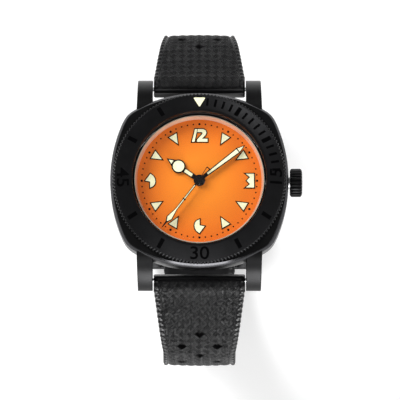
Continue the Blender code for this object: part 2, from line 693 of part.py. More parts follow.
def make_plates(pallet_at):
    low = BRIDGE_Z
    high = BRIDGE_Z + BRIDGE_THICK
    wide = MOVEMENT_R + 2
    cock_right = -0.2
    cock_top = -2.4
    bridge = disc("train_bridge", MOVEMENT_R, low, high, 48)
    cut(bridge, box("cock_room", (-wide, -wide, low - 1), (cock_right, cock_top, high + 1)))
    stations = {"third": THIRD_AT, "fourth": (0, 0), "escape": ESCAPE_AT}
    cut(bridge, *[pivot_hole(f"bridge_{k}", at, ARBOR_R, low - 1, high + 1) for k, at in stations.items()])
    cut(bridge, pivot_hole("bridge_screw", (CROWN_WHEEL_X, 0), CROWN_SCREW_R, low - 1, high + 1),
        pivot_hole("bridge_barrel", BARREL_AT, BARREL_PIVOT_R, low - 1, high + 1))
    part(bridge, STEEL)
    cock = disc("balance_cock", MOVEMENT_R, low, high, 48)
    cut(cock, box("cock_cut_right", (cock_right - 0.3, -wide, low - 1), (wide, wide, high + 1)))
    cut(cock, box("cock_cut_top", (-wide, cock_top - 0.3, low - 1), (wide, wide, high + 1)))
    cut(cock, pivot_hole("cock_staff", BALANCE_AT, ARBOR_R, low - 1, high + 1),
        pivot_hole("cock_pallet", pallet_at, ARBOR_R, low - 1, high + 1))
    part(cock, STEEL)
    low = PLATE_Z
    high = PLATE_Z + PLATE_THICK
    plate = disc("mainplate", MOVEMENT_R, low, high, 48)
    stations.update(balance=BALANCE_AT, pallet=pallet_at)
    stations.pop("fourth")
    cut(plate, *[pivot_hole(f"plate_{k}", at, ARBOR_R, low - 1, high + 1) for k, at in stations.items()])
    cut(plate, disc("plate_centre", 0.5, low - 1, high + 1))
    room = WINDING_MODULE * WINDING_TEETH / 2 + 0.6
    cut(plate, box("stem_room", (STEM_INNER_X - 0.3, -room, low - 1), (wide, room, high + 1)))
    post = place(disc("minute_post", 0.3, high - 0.3, 6.93, 12), (*MINUTE_AT, 0))
    join(plate, post)
    part(plate, BRASS)
    holder = ring("movement_ring", MOVEMENT_R + GAP, CASE_BORE_R - GAP, BRIDGE_Z, DIAL_Z - GAP, 48)
    cut(holder, rod_x("ring_stem_hole", 1.5, 10, 20, (0, 0, CROWN_Z)))
    part(holder, STEEL)


def make_motion_works():
    first = module_for(MINUTE_DISTANCE, CANNON_TEETH, MINUTE_TEETH)
    second = module_for(MINUTE_DISTANCE, MINUTE_LEAVES, HOUR_TEETH)
    phase = meshed_phase(CANNON_TEETH, MINUTE_ANGLE + math.pi)
    outline = gear_outline(CANNON_TEETH, first, (0.6, 1.2, 0.16, 0.38), phase)
    cannon = extruded("cannon_pinion", outline, 6.38, 6.62)
    join(cannon, disc("cannon_tube", 0.62, 6.38, MINUTE_HAND_Z + 0.12))
    cut(cannon, disc("cannon_bore", 0.45, 6, 9))
    part(cannon, STEEL)
    minute = extruded("minute_wheel", gear_outline(
        MINUTE_TEETH, first, WHEEL_SHAPE, MINUTE_ANGLE + math.pi), 6.4, 6.56)
    leaves = extruded("minute_leaves", gear_outline(
        MINUTE_LEAVES, second, PINION_SHAPE, meshed_phase(MINUTE_LEAVES, MINUTE_ANGLE)), 6.45, 6.88)
    join(minute, leaves)
    cut(minute, disc("minute_bore", 0.36, 6, 7.5, 12))
    part(place(minute, (*MINUTE_AT, 0)), BRASS)
    hour = extruded("hour_wheel", gear_outline(HOUR_TEETH, second, WHEEL_SHAPE, MINUTE_ANGLE), 6.7, 6.86)
    join(hour, disc("hour_tube", 0.95, 6.7, HOUR_HAND_Z + 0.12, 20))
    cut(hour, disc("hour_bore", 0.7, 6, 9, 20))
    part(hour, BRASS)


def make_rotor():
    count = 18
    outline = [polar(ROTOR_R, math.pi + math.pi * k / count) for k in range(count + 1)]
    outline += [(2.9, 0.0), (2.9, 1.5), (1.5, 2.9), (-1.5, 2.9), (-2.9, 1.5), (-2.9, 0.0)]
    rotor = extruded("rotor", outline, ROTOR_Z, ROTOR_Z + 0.7)
    cut(rotor, disc("rotor_bore", BEARING_R + GAP, 0, 5, 32))
    part(rotor, STEEL)
    part(disc("rotor_bearing", BEARING_R, ROTOR_Z, BRIDGE_Z - 0.05, 32), STEEL)


# ---------------------------------------------------------------- strap

def loop_point(distance, offset=0.0):
    """(y, z, slope) on the strap's outer face on the +Y side, distance from the wide end at the lugs.

    Offset moves the point inward. The run is a gentle bend, a turn over the wrist's side, a wider
    bend below it, and a flat stretch under the wrist.
    """
    start_y = SPRING_BAR_Y - 1.9
    start_z = SPRING_BAR_Z + STRAP_LUG_THICK / 2 + 0.9
    first_r = STRAP_UPPER / (TURN_SLOPE - LUG_SLOPE)
    bends = ((first_r, LUG_SLOPE, TURN_SLOPE), (LOOP_UPPER_R, TURN_SLOPE, math.pi / 2),
             (LOOP_LOWER_R, math.pi / 2, math.pi))
    y, z, left = start_y, start_z, distance
    slope = LUG_SLOPE
    for radius, begin, end in bends:
        length = radius * (end - begin)
        used = max(0.0, min(left, length))
        slope = begin + used / radius
        y += radius * (math.sin(slope) - math.sin(begin))
        z += radius * (math.cos(slope) - math.cos(begin))
        left -= used
        if left <= 0:
            break
    y += left * math.cos(slope)
    z -= left * math.sin(slope)
    return y - offset * math.sin(slope), z - offset * math.cos(slope), slope


FIRST_BENDS = (STRAP_UPPER + LOOP_UPPER_R * (math.pi / 2 - TURN_SLOPE) + LOOP_LOWER_R * math.pi / 2)
FLAT_Y = loop_point(FIRST_BENDS)[0]
FLAT_Z = loop_point(FIRST_BENDS)[1]


def strap_width(distance):
    share = min(1.0, max(0.0, (distance - TAPER_START) / TAPER_RUN))
    return STRAP_WIDTH + (STRAP_END_WIDTH - STRAP_WIDTH) * share


def strap_thickness(distance):
    share = min(1.0, max(0.0, distance / 16.0))
    return STRAP_LUG_THICK + (STRAP_THICK - STRAP_LUG_THICK) * share


def section(width, thick):
    """Half-crowned strap cross-section as (x, depth below the outer face)."""
    half = width / 2
    return [(-half, 0.35), (-half + 0.9, 0.0), (0, -0.25), (half - 0.9, 0.0), (half, 0.35),
            (half, thick - 0.2), (half - 0.3, thick), (-half + 0.3, thick), (-half, thick - 0.2)]


def loft(name, sections):
    """A closed body through a list of equal-count point rings."""
    bm = bmesh.new()
    rings = [[bm.verts.new(Vector(point) * MM) for point in points] for points in sections]
    count = len(rings[0])
    for before, after in zip(rings, rings[1:]):
        for k in range(count):
            following = (k + 1) % count
            bm.faces.new((before[k], before[following], after[following], after[k]))
    bm.faces.new(list(reversed(rings[0])))
    bm.faces.new(rings[-1])
    return object_from(bm, name)


def strap_section(distance, side, depth=0.0, narrow=0.0):
    y, z, slope = loop_point(distance)
    width = strap_width(distance) - narrow
    points = []
    for x, down in section(width, strap_thickness(distance)):
        inward = down + depth
        points.append((x, side * (y - inward * math.sin(slope)), z - inward * math.cos(slope)))
    return points


def lug_end(name, side):
    """The strap's rounded end about its spring bar, which the strap body runs into."""
    half = STRAP_WIDTH / 2 - 0.2
    return rod_x(name, 1.95, -half, half,
                 (0, side * SPRING_BAR_Y, SPRING_BAR_Z), 20)


def bar_bore(name, side):
    return rod_x(name, SPRING_BAR_R + GAP, -15, 15, (0, side * SPRING_BAR_Y, SPRING_BAR_Z))


def diamonds(name, places, depth_low, depth_high):
    """Square holes turned on their corners, cut straight through the flat stretch."""
    size = HOLE_SIZE / math.sqrt(2)
    outline = [(size, 0), (0, size), (-size, 0), (0, -size)]
    return [place(extruded(f"{name}_{k}", outline, depth_low, depth_high), (0, y, 0))
            for k, y in enumerate(places)]


def make_straps():
    first = 1.2
    straight = FIRST_BENDS - first
    steps = 20
    stations = [first + straight * k / steps for k in range(steps + 1)]

    end_distance = FIRST_BENDS + FLAT_Y - BUCKLE_Y - 0.6
    sections = [strap_section(d, 1) for d in [*stations, end_distance]]
    buckle_side = loft("strap_buckle_side", sections)
    join(buckle_side, lug_end("end_12", 1))
    cut(buckle_side, bar_bore("bore_12", 1))
    loop_z = FLAT_Z + STRAP_THICK / 2
    half = STRAP_END_WIDTH / 2 - 0.2
    join(buckle_side, rod_x("buckle_end", STRAP_THICK / 2 + 0.25, -half, half, (0, BUCKLE_Y, loop_z), 20))
    cut(buckle_side, rod_x("buckle_bore", BUCKLE_BAR_R + GAP, -15, 15, (0, BUCKLE_Y, loop_z)),
        box("tang_slot", (-1.3, BUCKLE_Y - 3, FLAT_Z - 3), (1.3, BUCKLE_Y + 3.2, FLAT_Z + 6)))
    part(buckle_side, RUBBER)

    layer = STRAP_THICK + LAYER_GAP
    sections = []
    for k, distance in enumerate(stations):
        sections.append(strap_section(distance, -1, layer * max(0.0, k / steps - 0.5) * -2))
    sections.append(strap_section(FIRST_BENDS + 2 * FLAT_Y, -1, -layer))
    outer = FIRST_BENDS + 2 * FLAT_Y
    tip = 22
    for k in range(1, 9):
        distance = outer + tip * k / 8
        mirrored = 2 * (FIRST_BENDS + FLAT_Y) - distance
        narrow = 0 if k < 7 else (3.0 if k == 7 else 8.0)
        section_there = strap_section(mirrored, -1, -layer - 0.05, narrow)
        sections.append([(x, -y, z) for x, y, z in section_there])
    tail = loft("strap_tail", sections)
    join(tail, lug_end("end_6", -1))
    holes = diamonds("tail_hole", [BUCKLE_Y + HOLE_PITCH * (k - 0.5) for k in range(-1, 2)],
                     FLAT_Z - layer - 3, FLAT_Z + 6)
    cut(tail, bar_bore("bore_6", -1), *holes)
    part(tail, RUBBER)
    return loop_z


def make_spring_bars():
    for side, label in ((1, "12"), (-1, "6")):
        at = (0, side * SPRING_BAR_Y, SPRING_BAR_Z)
        half = LUG_GAP / 2 - 0.35
        bar = rod_x(f"spring_bar_{label}", SPRING_BAR_R, -half, half, at)
        for hand_side in (-1, 1):
            ends = (hand_side * (half - BAR_TIP_HELD - BAR_TIP_TRAVEL - GAP), hand_side * (half + 2))
            cut(bar, rod_x(f"bar_bore_{label}_{hand_side}", BAR_TIP_R + FIT_GAP, min(ends), max(ends), at))
        part(bar, STEEL)
        for hand_side, end in ((-1, "left"), (1, "right")):
            ends = (hand_side * (half - BAR_TIP_HELD), hand_side * (LUG_GAP / 2 + BAR_TIP_REACH))
            part(rod_x(f"bar_tip_{label}_{end}", BAR_TIP_R, min(ends), max(ends), at), STEEL)


def make_buckle(loop_z):
    outer = BUCKLE_WIDTH / 2
    inner = STRAP_END_WIDTH / 2 + 0.5
    cross_z = FLAT_Z - STRAP_THICK - LAYER_GAP - 1.1
    frame = rod_x("buckle_frame", 0.85, -outer, outer, (0, CROSSBAR_Y, cross_z), 12)
    outline = [(CROSSBAR_Y - 0.8, cross_z - 0.6), (CROSSBAR_Y + 1.0, cross_z - 0.85),
               (BUCKLE_Y + 1.4, loop_z - 1.3), (BUCKLE_Y + 1.4, loop_z + 1.3),
               (BUCKLE_Y - 1.2, loop_z + 1.5), (CROSSBAR_Y - 0.8, cross_z + 0.8)]
    join(frame, slab_x("buckle_arm_left", outline, -outer, -inner),
         slab_x("buckle_arm_right", outline, inner, outer))
    cut(frame, rod_x("frame_bore", BUCKLE_BAR_R + GAP, -inner - 1.2, inner + 1.2, (0, BUCKLE_Y, loop_z)))
    part(frame, STEEL)
    bar = inner + 1.1
    part(rod_x("spring_bar_buckle", BUCKLE_BAR_R, -bar, bar, (0, BUCKLE_Y, loop_z)), STEEL)
    tang = rod_x("buckle_tang", BUCKLE_BAR_R + 0.55, -0.9, 0.9, (0, BUCKLE_Y, loop_z))
    hole_y = BUCKLE_Y - HOLE_PITCH / 2
    rest_z = cross_z - 0.85 - GAP
    blade = [(BUCKLE_Y, loop_z + 0.3), (hole_y - 0.35, loop_z + 0.3), (hole_y - 0.35, rest_z + 1.2),
             (CROSSBAR_Y + 1.4, rest_z), (CROSSBAR_Y - 1.0, rest_z), (CROSSBAR_Y - 1.0, rest_z - 0.6),
             (CROSSBAR_Y + 1.2, rest_z - 0.6), (hole_y + 0.35, rest_z + 0.6), (hole_y + 0.35, loop_z - 0.4),
             (BUCKLE_Y, loop_z - 0.4)]
    join(tang, slab_x("tang_blade", blade, -0.5, 0.5))
    cut(tang, rod_x("tang_bore", BUCKLE_BAR_R + GAP, -2, 2, (0, BUCKLE_Y, loop_z)))
    part(tang, STEEL)


def make_keeper(name, distance):
    """A band round both layers of strap, square to the strap at a distance along its outer face."""
    half = STRAP_END_WIDTH / 2 + 1.0
    top = STRAP_THICK + KEEPER_ROOM
    low = -STRAP_THICK - LAYER_GAP - 0.3 - KEEPER_ROOM
    y, z, slope = loop_point(distance)
    shell = box(name, (-half - KEEPER_WALL, -KEEPER_WIDTH / 2, low - KEEPER_WALL),
                (half + KEEPER_WALL, KEEPER_WIDTH / 2, top + KEEPER_WALL))
    cut(shell, box(name + "_hole", (-half, -9, low), (half, 9, top)))
    shell.rotation_euler = (math.pi - slope, 0, 0)
    part(place(shell, (0, y, z)), RUBBER)


make_case()
make_back()
make_crystal()
make_bezel()
make_dial()
make_hands()
make_crown()
make_keyless()
make_train()
PALLET_AT = make_balance()
make_plates(PALLET_AT)
make_motion_works()
make_rotor()
BUCKLE_Z = make_straps()
make_spring_bars()
make_buckle(BUCKLE_Z)
make_keeper("keeper_fixed", FIRST_BENDS + FLAT_Y - BUCKLE_Y - FIXED_KEEPER_BACK)
make_keeper("keeper_free", FIRST_BENDS + FLAT_Y - BUCKLE_Y - FREE_KEEPER_BACK)
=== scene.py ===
import json
import math

import bmesh
import bpy
import numpy as np
from mathutils import Matrix, Vector


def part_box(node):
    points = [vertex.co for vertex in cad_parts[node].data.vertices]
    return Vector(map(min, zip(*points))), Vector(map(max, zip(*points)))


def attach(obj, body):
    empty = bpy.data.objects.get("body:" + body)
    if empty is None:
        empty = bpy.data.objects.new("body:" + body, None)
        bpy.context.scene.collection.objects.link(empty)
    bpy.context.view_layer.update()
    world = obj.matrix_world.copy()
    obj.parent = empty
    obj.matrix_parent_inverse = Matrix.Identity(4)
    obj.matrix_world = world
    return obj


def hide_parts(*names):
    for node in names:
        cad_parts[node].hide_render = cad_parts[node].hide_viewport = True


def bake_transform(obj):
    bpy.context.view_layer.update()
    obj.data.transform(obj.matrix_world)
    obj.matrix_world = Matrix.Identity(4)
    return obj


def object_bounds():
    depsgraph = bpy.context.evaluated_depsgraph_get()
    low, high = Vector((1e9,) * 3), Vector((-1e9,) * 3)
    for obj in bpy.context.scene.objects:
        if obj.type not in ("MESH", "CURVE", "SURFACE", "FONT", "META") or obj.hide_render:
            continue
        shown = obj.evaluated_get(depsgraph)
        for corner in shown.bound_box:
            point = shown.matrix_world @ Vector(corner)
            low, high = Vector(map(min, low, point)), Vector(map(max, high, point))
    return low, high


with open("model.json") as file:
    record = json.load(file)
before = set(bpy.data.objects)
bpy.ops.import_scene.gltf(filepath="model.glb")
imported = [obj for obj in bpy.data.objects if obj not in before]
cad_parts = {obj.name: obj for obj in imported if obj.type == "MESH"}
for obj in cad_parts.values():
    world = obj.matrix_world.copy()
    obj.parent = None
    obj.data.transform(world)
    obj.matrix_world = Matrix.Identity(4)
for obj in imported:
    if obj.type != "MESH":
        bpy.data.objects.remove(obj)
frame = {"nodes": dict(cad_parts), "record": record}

CAD_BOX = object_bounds()
MM = 0.001
ROUND = 192             # points round large turned pieces

# Case
CASE_HALF_X = 19.1
CASE_HALF_Y = 19.0
CASE_SIDE_R = 31.0
CASE_END_R = 28.3
CORNER_POWER = 60
CASE_BORE_R = 15.2
CASE_TOP = 8.8
LUG_INNER = 10.0
LUG_WIDTH = 3.2
LUG_FLARE = 0.35
LUG_ROOT_Y = 13.5
LUG_TIP_Y = 23.0
BAR_Y = 20.9
BAR_Z = 2.9

# Bezel and crystal
BEZEL_LOW = 8.9
BEZEL_R = 18.6
BEZEL_FACE_R = 18.05
BEZEL_FACE_Z = 10.55
BEZEL_LIP_R = 14.95
BEZEL_LIP_Z = 11.6
BEZEL_HOLE_R = 14.35
COIN_TEETH = 150
COIN_DEPTH = 0.4
MARK_INNER = 15.5
MARK_OUTER = 17.6
INLAY = 0.035           # how far an inlay stands above the face
CRYSTAL_R = 14.25
CRYSTAL_LOW = 9.4
CRYSTAL_EDGE = 11.3
CRYSTAL_TOP = 12.8
GLASS_THICK = 1.7

# Back
BACK_R = 15.2
BACK_TOP = 1.2
NOTCH_DEPTH = 1.1
NOTCH_HALF = 1.15

# Crown
CROWN_RIDGES = 24
CROWN_RIDGE_DEPTH = 0.42

# Dial
DIAL_TOP = 7.35
DIAL_R = 13.9
MARKER_RISE = 0.16
BORDER = 0.2            # black round a marker's lume
DOT_R = 12.35
HAND_THICK = 0.2

# Hands: heights of their undersides, and angles clockwise from twelve
HOUR_Z = 7.75
MINUTE_Z = 8.2
SECOND_Z = 8.65
HOUR_ANGLE = 304.3
MINUTE_ANGLE = 52.3
SECOND_ANGLE = 217.5

# Strap
STRAP_WIDTH = 19.6
STRAP_END_WIDTH = 15.6
TAPER_START = 5.0
TAPER_RUN = 17.0
STRAP_LUG_THICK = 3.6
STRAP_THICK = 2.2
UPPER_R = 16.7
LOWER_R = 26.0
LUG_SLOPE = math.radians(26)
TURN_SLOPE = math.radians(43)
STRAP_UPPER = 13.9
LAYER_GAP = 0.3
STRAP_FIRST = 1.2
STATION_STEP = 0.14
TAIL_RUN = 22.0
FIRST_ROW = 15.3        # strap distance of the first centre hole
ROWS_TO_TANG = 16       # rows from there to the hole that takes the tang
SIDE_HOLE_X = 3.83
HOLE_HALF = 1.12
WEAVE_PITCH = 1.83
RIBS = 4                # ribs across one square of the weave
RIM_WIDTH = 0.95
RIM_PITCH = 1.25
END_ROUND = 1.75        # radius that turns the outer face down at the lugs
END_ROUND_START = 3.95
END_SWELL = 0.55
END_BAR_R = 1.05        # rubber round the spring bar, under the ribbed face
PIT_DEPTH = 1.1         # perforations
WEAVE_RISE = 0.34
TAIL_EXTRA_GAP = 0.05   # beyond the layer gap, where the tail runs under the buckle side
TIP_RUN = 6.0           # length over which the tail's tip rounds off
KEEPER_GAP = 0.3        # between a keeper and the strap layers inside it
KEEPER_WALL = 1.0
KEEPER_HALF_WIDTH = 2.5
FIXED_KEEPER_RUN = 5.6  # strap distance from the buckle's bar to each keeper
LOOSE_KEEPER_RUN = 21.0
TANG_HOLE_Y = -4.2
BUCKLE_Y = -1.0
CROSSBAR_Y = -9.0
CROSSBAR_R = 0.85
TANG_HALF = 0.55

# Camera, in degrees and metres
CAMERA_RISE = 79.2
CAMERA_DISTANCE = 2.0
CAMERA_FIELD = 0.086
CAMERA_AIM = (0.00013, -0.0028, 0.0)
SENSOR = 36.0


# ---------------------------------------------------------------- materials

class Look:
    """A material under construction: a Principled shader and short ways to add procedural detail."""

    def __init__(self, name, colour, roughness, metallic=0.0, **sockets):
        self.material = bpy.data.materials.new(name)
        self.material.use_nodes = True
        self.nodes = self.material.node_tree.nodes
        self.links = self.material.node_tree.links
        self.shader = self.nodes["Principled BSDF"]
        self.colour = colour
        self.shader.inputs["Base Color"].default_value = (*colour, 1.0)
        self.shader.inputs["Roughness"].default_value = roughness
        self.shader.inputs["Metallic"].default_value = metallic
        for socket, value in sockets.items():
            self.shader.inputs[socket.replace("_", " ")].default_value = value
        self.roughness = roughness
        self.normal = None
        self.coords = self.nodes.new("ShaderNodeTexCoord").outputs["Object"]

    def scaled(self, scale):
        mapping = self.nodes.new("ShaderNodeMapping")
        mapping.inputs["Scale"].default_value = scale
        self.links.new(self.coords, mapping.inputs["Vector"])
        return mapping.outputs["Vector"]

    def noise(self, scale, detail=3.0):
        """Noise with scale features to the metre, or stretched when scale is a triple."""
        node = self.nodes.new("ShaderNodeTexNoise")
        node.inputs["Detail"].default_value = detail
        if isinstance(scale, tuple):
            node.inputs["Scale"].default_value = 1.0
            vector = self.scaled(scale)
        else:
            node.inputs["Scale"].default_value = scale
            vector = self.coords
        self.links.new(vector, node.inputs["Vector"])
        return node.outputs["Fac"]

    def radius(self):
        flat = self.scaled((1.0, 1.0, 0.0))
        length = self.nodes.new("ShaderNodeVectorMath")
        length.operation = "LENGTH"
        self.links.new(flat, length.inputs[0])
        return length.outputs["Value"]

    def rings(self, per_metre):
        """Noise that changes only with distance from the watch's axis, as circular brushing does."""
        node = self.nodes.new("ShaderNodeTexNoise")
        node.noise_dimensions = "1D"
        node.inputs["Scale"].default_value = per_metre
        node.inputs["Detail"].default_value = 2.0
        self.links.new(self.radius(), node.inputs["W"])
        return node.outputs["Fac"]

    def bump(self, height, strength, distance):
        node = self.nodes.new("ShaderNodeBump")
        node.inputs["Strength"].default_value = strength
        node.inputs["Distance"].default_value = distance * MM
        self.links.new(height, node.inputs["Height"])
        if self.normal:
            self.links.new(self.normal, node.inputs["Normal"])
        self.normal = node.outputs["Normal"]
        self.links.new(self.normal, self.shader.inputs["Normal"])
        return self

    def vary_roughness(self, factor, spread):
        node = self.nodes.new("ShaderNodeMapRange")
        node.inputs["To Min"].default_value = self.roughness - spread
        node.inputs["To Max"].default_value = self.roughness + spread
        self.links.new(factor, node.inputs["Value"])
        self.links.new(node.outputs["Result"], self.shader.inputs["Roughness"])
        return self

    def vary_colour(self, factor, low, high, start=0.3, end=0.7):
        node = self.nodes.new("ShaderNodeValToRGB")
        node.color_ramp.elements[0].position = start
        node.color_ramp.elements[1].position = end
        node.color_ramp.elements[0].color = (*low, 1.0)
        node.color_ramp.elements[1].color = (*high, 1.0)
        self.links.new(factor, node.inputs["Fac"])
        self.links.new(node.outputs["Color"], self.shader.inputs["Base Color"])
        return self


def shade(colour, factor):
    return tuple(min(1.0, c * factor) for c in colour)


def brushed(name, colour, roughness, metallic, stretch, strength=0.25):
    look = Look(name, colour, roughness, metallic)
    streaks = look.noise(stretch)
    look.bump(streaks, strength, 0.02).vary_roughness(streaks, 0.07)
    return look.vary_colour(look.noise(220.0), shade(colour, 0.82), shade(colour, 1.18)).material


def turned_finish(name, colour, roughness, metallic, per_metre=9000.0, strength=0.25):
    look = Look(name, colour, roughness, metallic)
    grooves = look.rings(per_metre)
    look.bump(grooves, strength, 0.02).vary_roughness(grooves, 0.06)
    return look.vary_colour(look.noise(260.0), shade(colour, 0.85), shade(colour, 1.15)).material


def moulded(name, colour, roughness, scale, strength=0.3, **sockets):
    look = Look(name, colour, roughness, 0.0, **sockets)
    grain = look.noise(scale, 4.0)
    look.bump(grain, strength, 0.03).vary_roughness(grain, 0.08)
    return look.vary_colour(look.noise(scale / 12), shade(colour, 0.8), shade(colour, 1.25)).material


BLACK = (0.015, 0.015, 0.0155)
CASE_LOOK = brushed("case_satin", BLACK, 0.36, 0.85, (9000.0, 500.0, 9000.0), 0.1)
BEZEL_LOOK = turned_finish("bezel_satin", (0.014, 0.014, 0.015), 0.36, 0.8, 9000.0, 0.12)
# Partly real, partly painted: the case rim's polish is real, and its black, lighter than the case's, is a
# painted highlight along the bevel.
POLISHED_WITH_HIGHLIGHT = turned_finish("black_polished_highlight", (0.05, 0.05, 0.053), 0.16, 0.9, 3000.0, 0.05)
BACK_LOOK = turned_finish("back_satin", BLACK, 0.36, 0.85)
STEEL_LOOK = brushed("steel_brushed", (0.56, 0.56, 0.57), 0.28, 1.0, (600.0, 9000.0, 9000.0))
# Painted reflection: the flange's cream colour stands in for the orange dial and white light mirrored in its
# polished steel.
FLANGE_REFLECTION_LOOK = turned_finish("flange_painted_reflection", (0.95, 0.82, 0.66), 0.2, 0.5, 3000.0, 0.04)
BRASS_LOOK = turned_finish("brass_gilt", (0.76, 0.55, 0.24), 0.3, 1.0, 6000.0)
RUBBER_LOOK = moulded("rubber", (0.006, 0.006, 0.0065), 0.34, 5200.0, 0.1, Specular_IOR_Level=0.5)
SEAL_LOOK = moulded("seal_rubber", (0.02, 0.02, 0.02), 0.6, 4000.0)
# Painted glow: the emission makes the lume shine by itself, brighter than the lamps light it.
GLOWING_LUME_LOOK = moulded("lume", (0.84, 0.82, 0.54), 0.55, 6000.0, 0.1, Emission_Color=(1.0, 0.98, 0.62, 1.0),
                    Emission_Strength=0.22)
INK = moulded("engraved_black", (0.002, 0.002, 0.0022), 0.7, 3000.0, 0.1, Specular_IOR_Level=0.0)
HAND_BLACK = moulded("hand_black", (0.006, 0.005, 0.005), 0.3, 3000.0, 0.05, Specular_IOR_Level=0.25)
BUCKLE_LOOK = brushed("buckle_satin", BLACK, 0.34, 0.9, (700.0, 9000.0, 9000.0))


def dial_look():
    """Orange lacquer, a little redder and deeper towards the edge, with a very fine grain."""
    look = Look("dial_lacquer", (0.95, 0.25, 0.022), 0.42, Specular_IOR_Level=0.15)
    grain = look.noise(9000.0)
    look.bump(grain, 0.12, 0.01).vary_roughness(grain, 0.05)
    scale = look.nodes.new("ShaderNodeMath")
    scale.operation = "MULTIPLY"
    scale.inputs[1].default_value = 1 / (DIAL_R * MM)
    look.links.new(look.radius(), scale.inputs[0])
    look.vary_colour(scale.outputs["Value"], (0.98, 0.275, 0.024), (0.88, 0.175, 0.018), 0.35, 1.0)
    return look.material


def glass_look():
    """Thin dark glass: a low alpha keeps the dial's colour, and the surface still reflects."""
    look = Look("crystal_glass", (0.05, 0.05, 0.055), 0.02, Alpha=0.04, IOR=1.45, Specular_IOR_Level=0.2)
    look.bump(look.noise(120.0), 0.02, 0.02)
    look.material.surface_render_method = "BLENDED"
    return look.material


DIAL_LOOK = dial_look()
GLASS_LOOK = glass_look()


# ---------------------------------------------------------------- shape builders

def mesh_object(name, points, faces, look, sharp=32.0):
    mesh = bpy.data.meshes.new(name)
    mesh.from_pydata([tuple(p) for p in np.asarray(points, dtype=float) * MM], [], faces)
    return finished(name, mesh, look, sharp)


def finished(name, mesh, look, sharp=32.0):
    bm = bmesh.new()
    bm.from_mesh(mesh)
    bmesh.ops.remove_doubles(bm, verts=bm.verts, dist=1e-7)
    bmesh.ops.recalc_face_normals(bm, faces=bm.faces)
    bm.to_mesh(mesh)
    bm.free()
    mesh.materials.clear()
    mesh.materials.append(look)
    mesh.shade_smooth()
    mesh.set_sharp_from_angle(angle=math.radians(sharp))
    obj = bpy.data.objects.new(name, mesh)
    bpy.context.scene.collection.objects.link(obj)
    return obj


def loop_faces(rows, columns, close_rows=True):
    """Quads over a grid of rows whose columns close on themselves."""
    faces = []
    for row in range(rows if close_rows else rows - 1):
        below = row * columns
        above = (row + 1) % rows * columns
        for k in range(columns):
            following = (k + 1) % columns
            faces.append((below + k, below + following, above + following, above + k))
    return faces


def loft(name, sections, look, capped=True, sharp=32.0):
    """A body through point rings. Uncapped rings close into a hollow ring shape."""
    rows = len(sections)
    columns = len(sections[0])
    faces = loop_faces(rows, columns, not capped)
    if capped:
        faces.append(tuple(range(columns)))
        faces.append(tuple((rows - 1) * columns + k for k in range(columns)))
    return mesh_object(name, [p for ring in sections for p in ring], faces, look, sharp)


def lathe(name, profile, look, steps=ROUND, modulate=None, sharp=32.0):
    """Turns a closed (radius, height) profile about Z. modulate(angle, k) adds to point k's radius."""
    sections = []
    for step in range(steps):
        angle = 2 * math.pi * step / steps
        ring = []
        for k, (radius, height) in enumerate(profile):
            reach = radius + (modulate(angle, k) if modulate else 0.0)
            ring.append((reach * math.cos(angle), reach * math.sin(angle), height))
        sections.append(ring)
    return loft(name, sections, look, capped=False, sharp=sharp)


def prism(name, outline, low, high, look, bevel=0.0, sharp=32.0):
    """A flat outline given thickness along Z, with an optional small chamfer."""
    count = len(outline)
    points = [(x, y, low) for x, y in outline] + [(x, y, high) for x, y in outline]
    faces = [tuple(range(count)), tuple(range(count, 2 * count))]
    faces += [(k, (k + 1) % count, count + (k + 1) % count, count + k) for k in range(count)]
    obj = mesh_object(name, points, faces, look, sharp)
    if bevel:
        soften(obj, bevel)
    return obj


def soften(obj, width, segments=3):
    modifier = obj.modifiers.new("soften", "BEVEL")
    modifier.width = width * MM
    modifier.segments = segments
    modifier.limit_method = "ANGLE"
    modifier.angle_limit = math.radians(28)


def merged(name, objects, look):
    """One object from several, with their modifiers and placements applied."""
    bm = bmesh.new()
    graph = bpy.context.evaluated_depsgraph_get()
    graph.update()
    for obj in objects:
        mesh = obj.evaluated_get(graph).to_mesh()
        mesh.transform(obj.matrix_world)
        bm.from_mesh(mesh)
        obj.evaluated_get(graph).to_mesh_clear()
    mesh = bpy.data.meshes.new(name)
    bm.to_mesh(mesh)
    bm.free()
    for obj in objects:
        bpy.data.objects.remove(obj, do_unlink=True)
    mesh.materials.append(look)
    made = bpy.data.objects.new(name, mesh)
    bpy.context.scene.collection.objects.link(made)
    mesh.shade_smooth()
    mesh.set_sharp_from_angle(angle=math.radians(32))
    return made


def lettering(name, text, height, thick, grow, look):
    """Text as a solid of the given height and thickness, its strokes thickened by grow."""
    curve = bpy.data.curves.new(name, "FONT")
    curve.body = text
    curve.size = height * MM
    curve.align_x = "CENTER"
    curve.align_y = "CENTER"
    curve.extrude = thick / 2 * MM
    curve.offset = grow * MM
    curve.resolution_u = 6
    holder = bpy.data.objects.new(name + "_text", curve)
    bpy.context.scene.collection.objects.link(holder)
    graph = bpy.context.evaluated_depsgraph_get()
    mesh = bpy.data.meshes.new_from_object(holder.evaluated_get(graph))
    bpy.data.objects.remove(holder, do_unlink=True)
    return finished(name, mesh, look)


def turn(obj, degrees, axis="Z"):
    obj.data.transform(Matrix.Rotation(math.radians(degrees), 4, axis))
    return obj


def shift(obj, x, y, z=0.0):
    obj.data.transform(Matrix.Translation(Vector((x, y, z)) * MM))
    return obj


def ready(obj, body, slot, *nodes):
    """The piece rides on its body and stands for its CAD nodes, which it hides. slot is not used."""
    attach(obj, body)
    if nodes:
        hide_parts(*nodes)
    return obj


def polar(radius, clock):
    """A point at a clock angle in degrees, measured clockwise from twelve."""
    angle = math.radians(90 - clock)
    return (radius * math.cos(angle), radius * math.sin(angle))


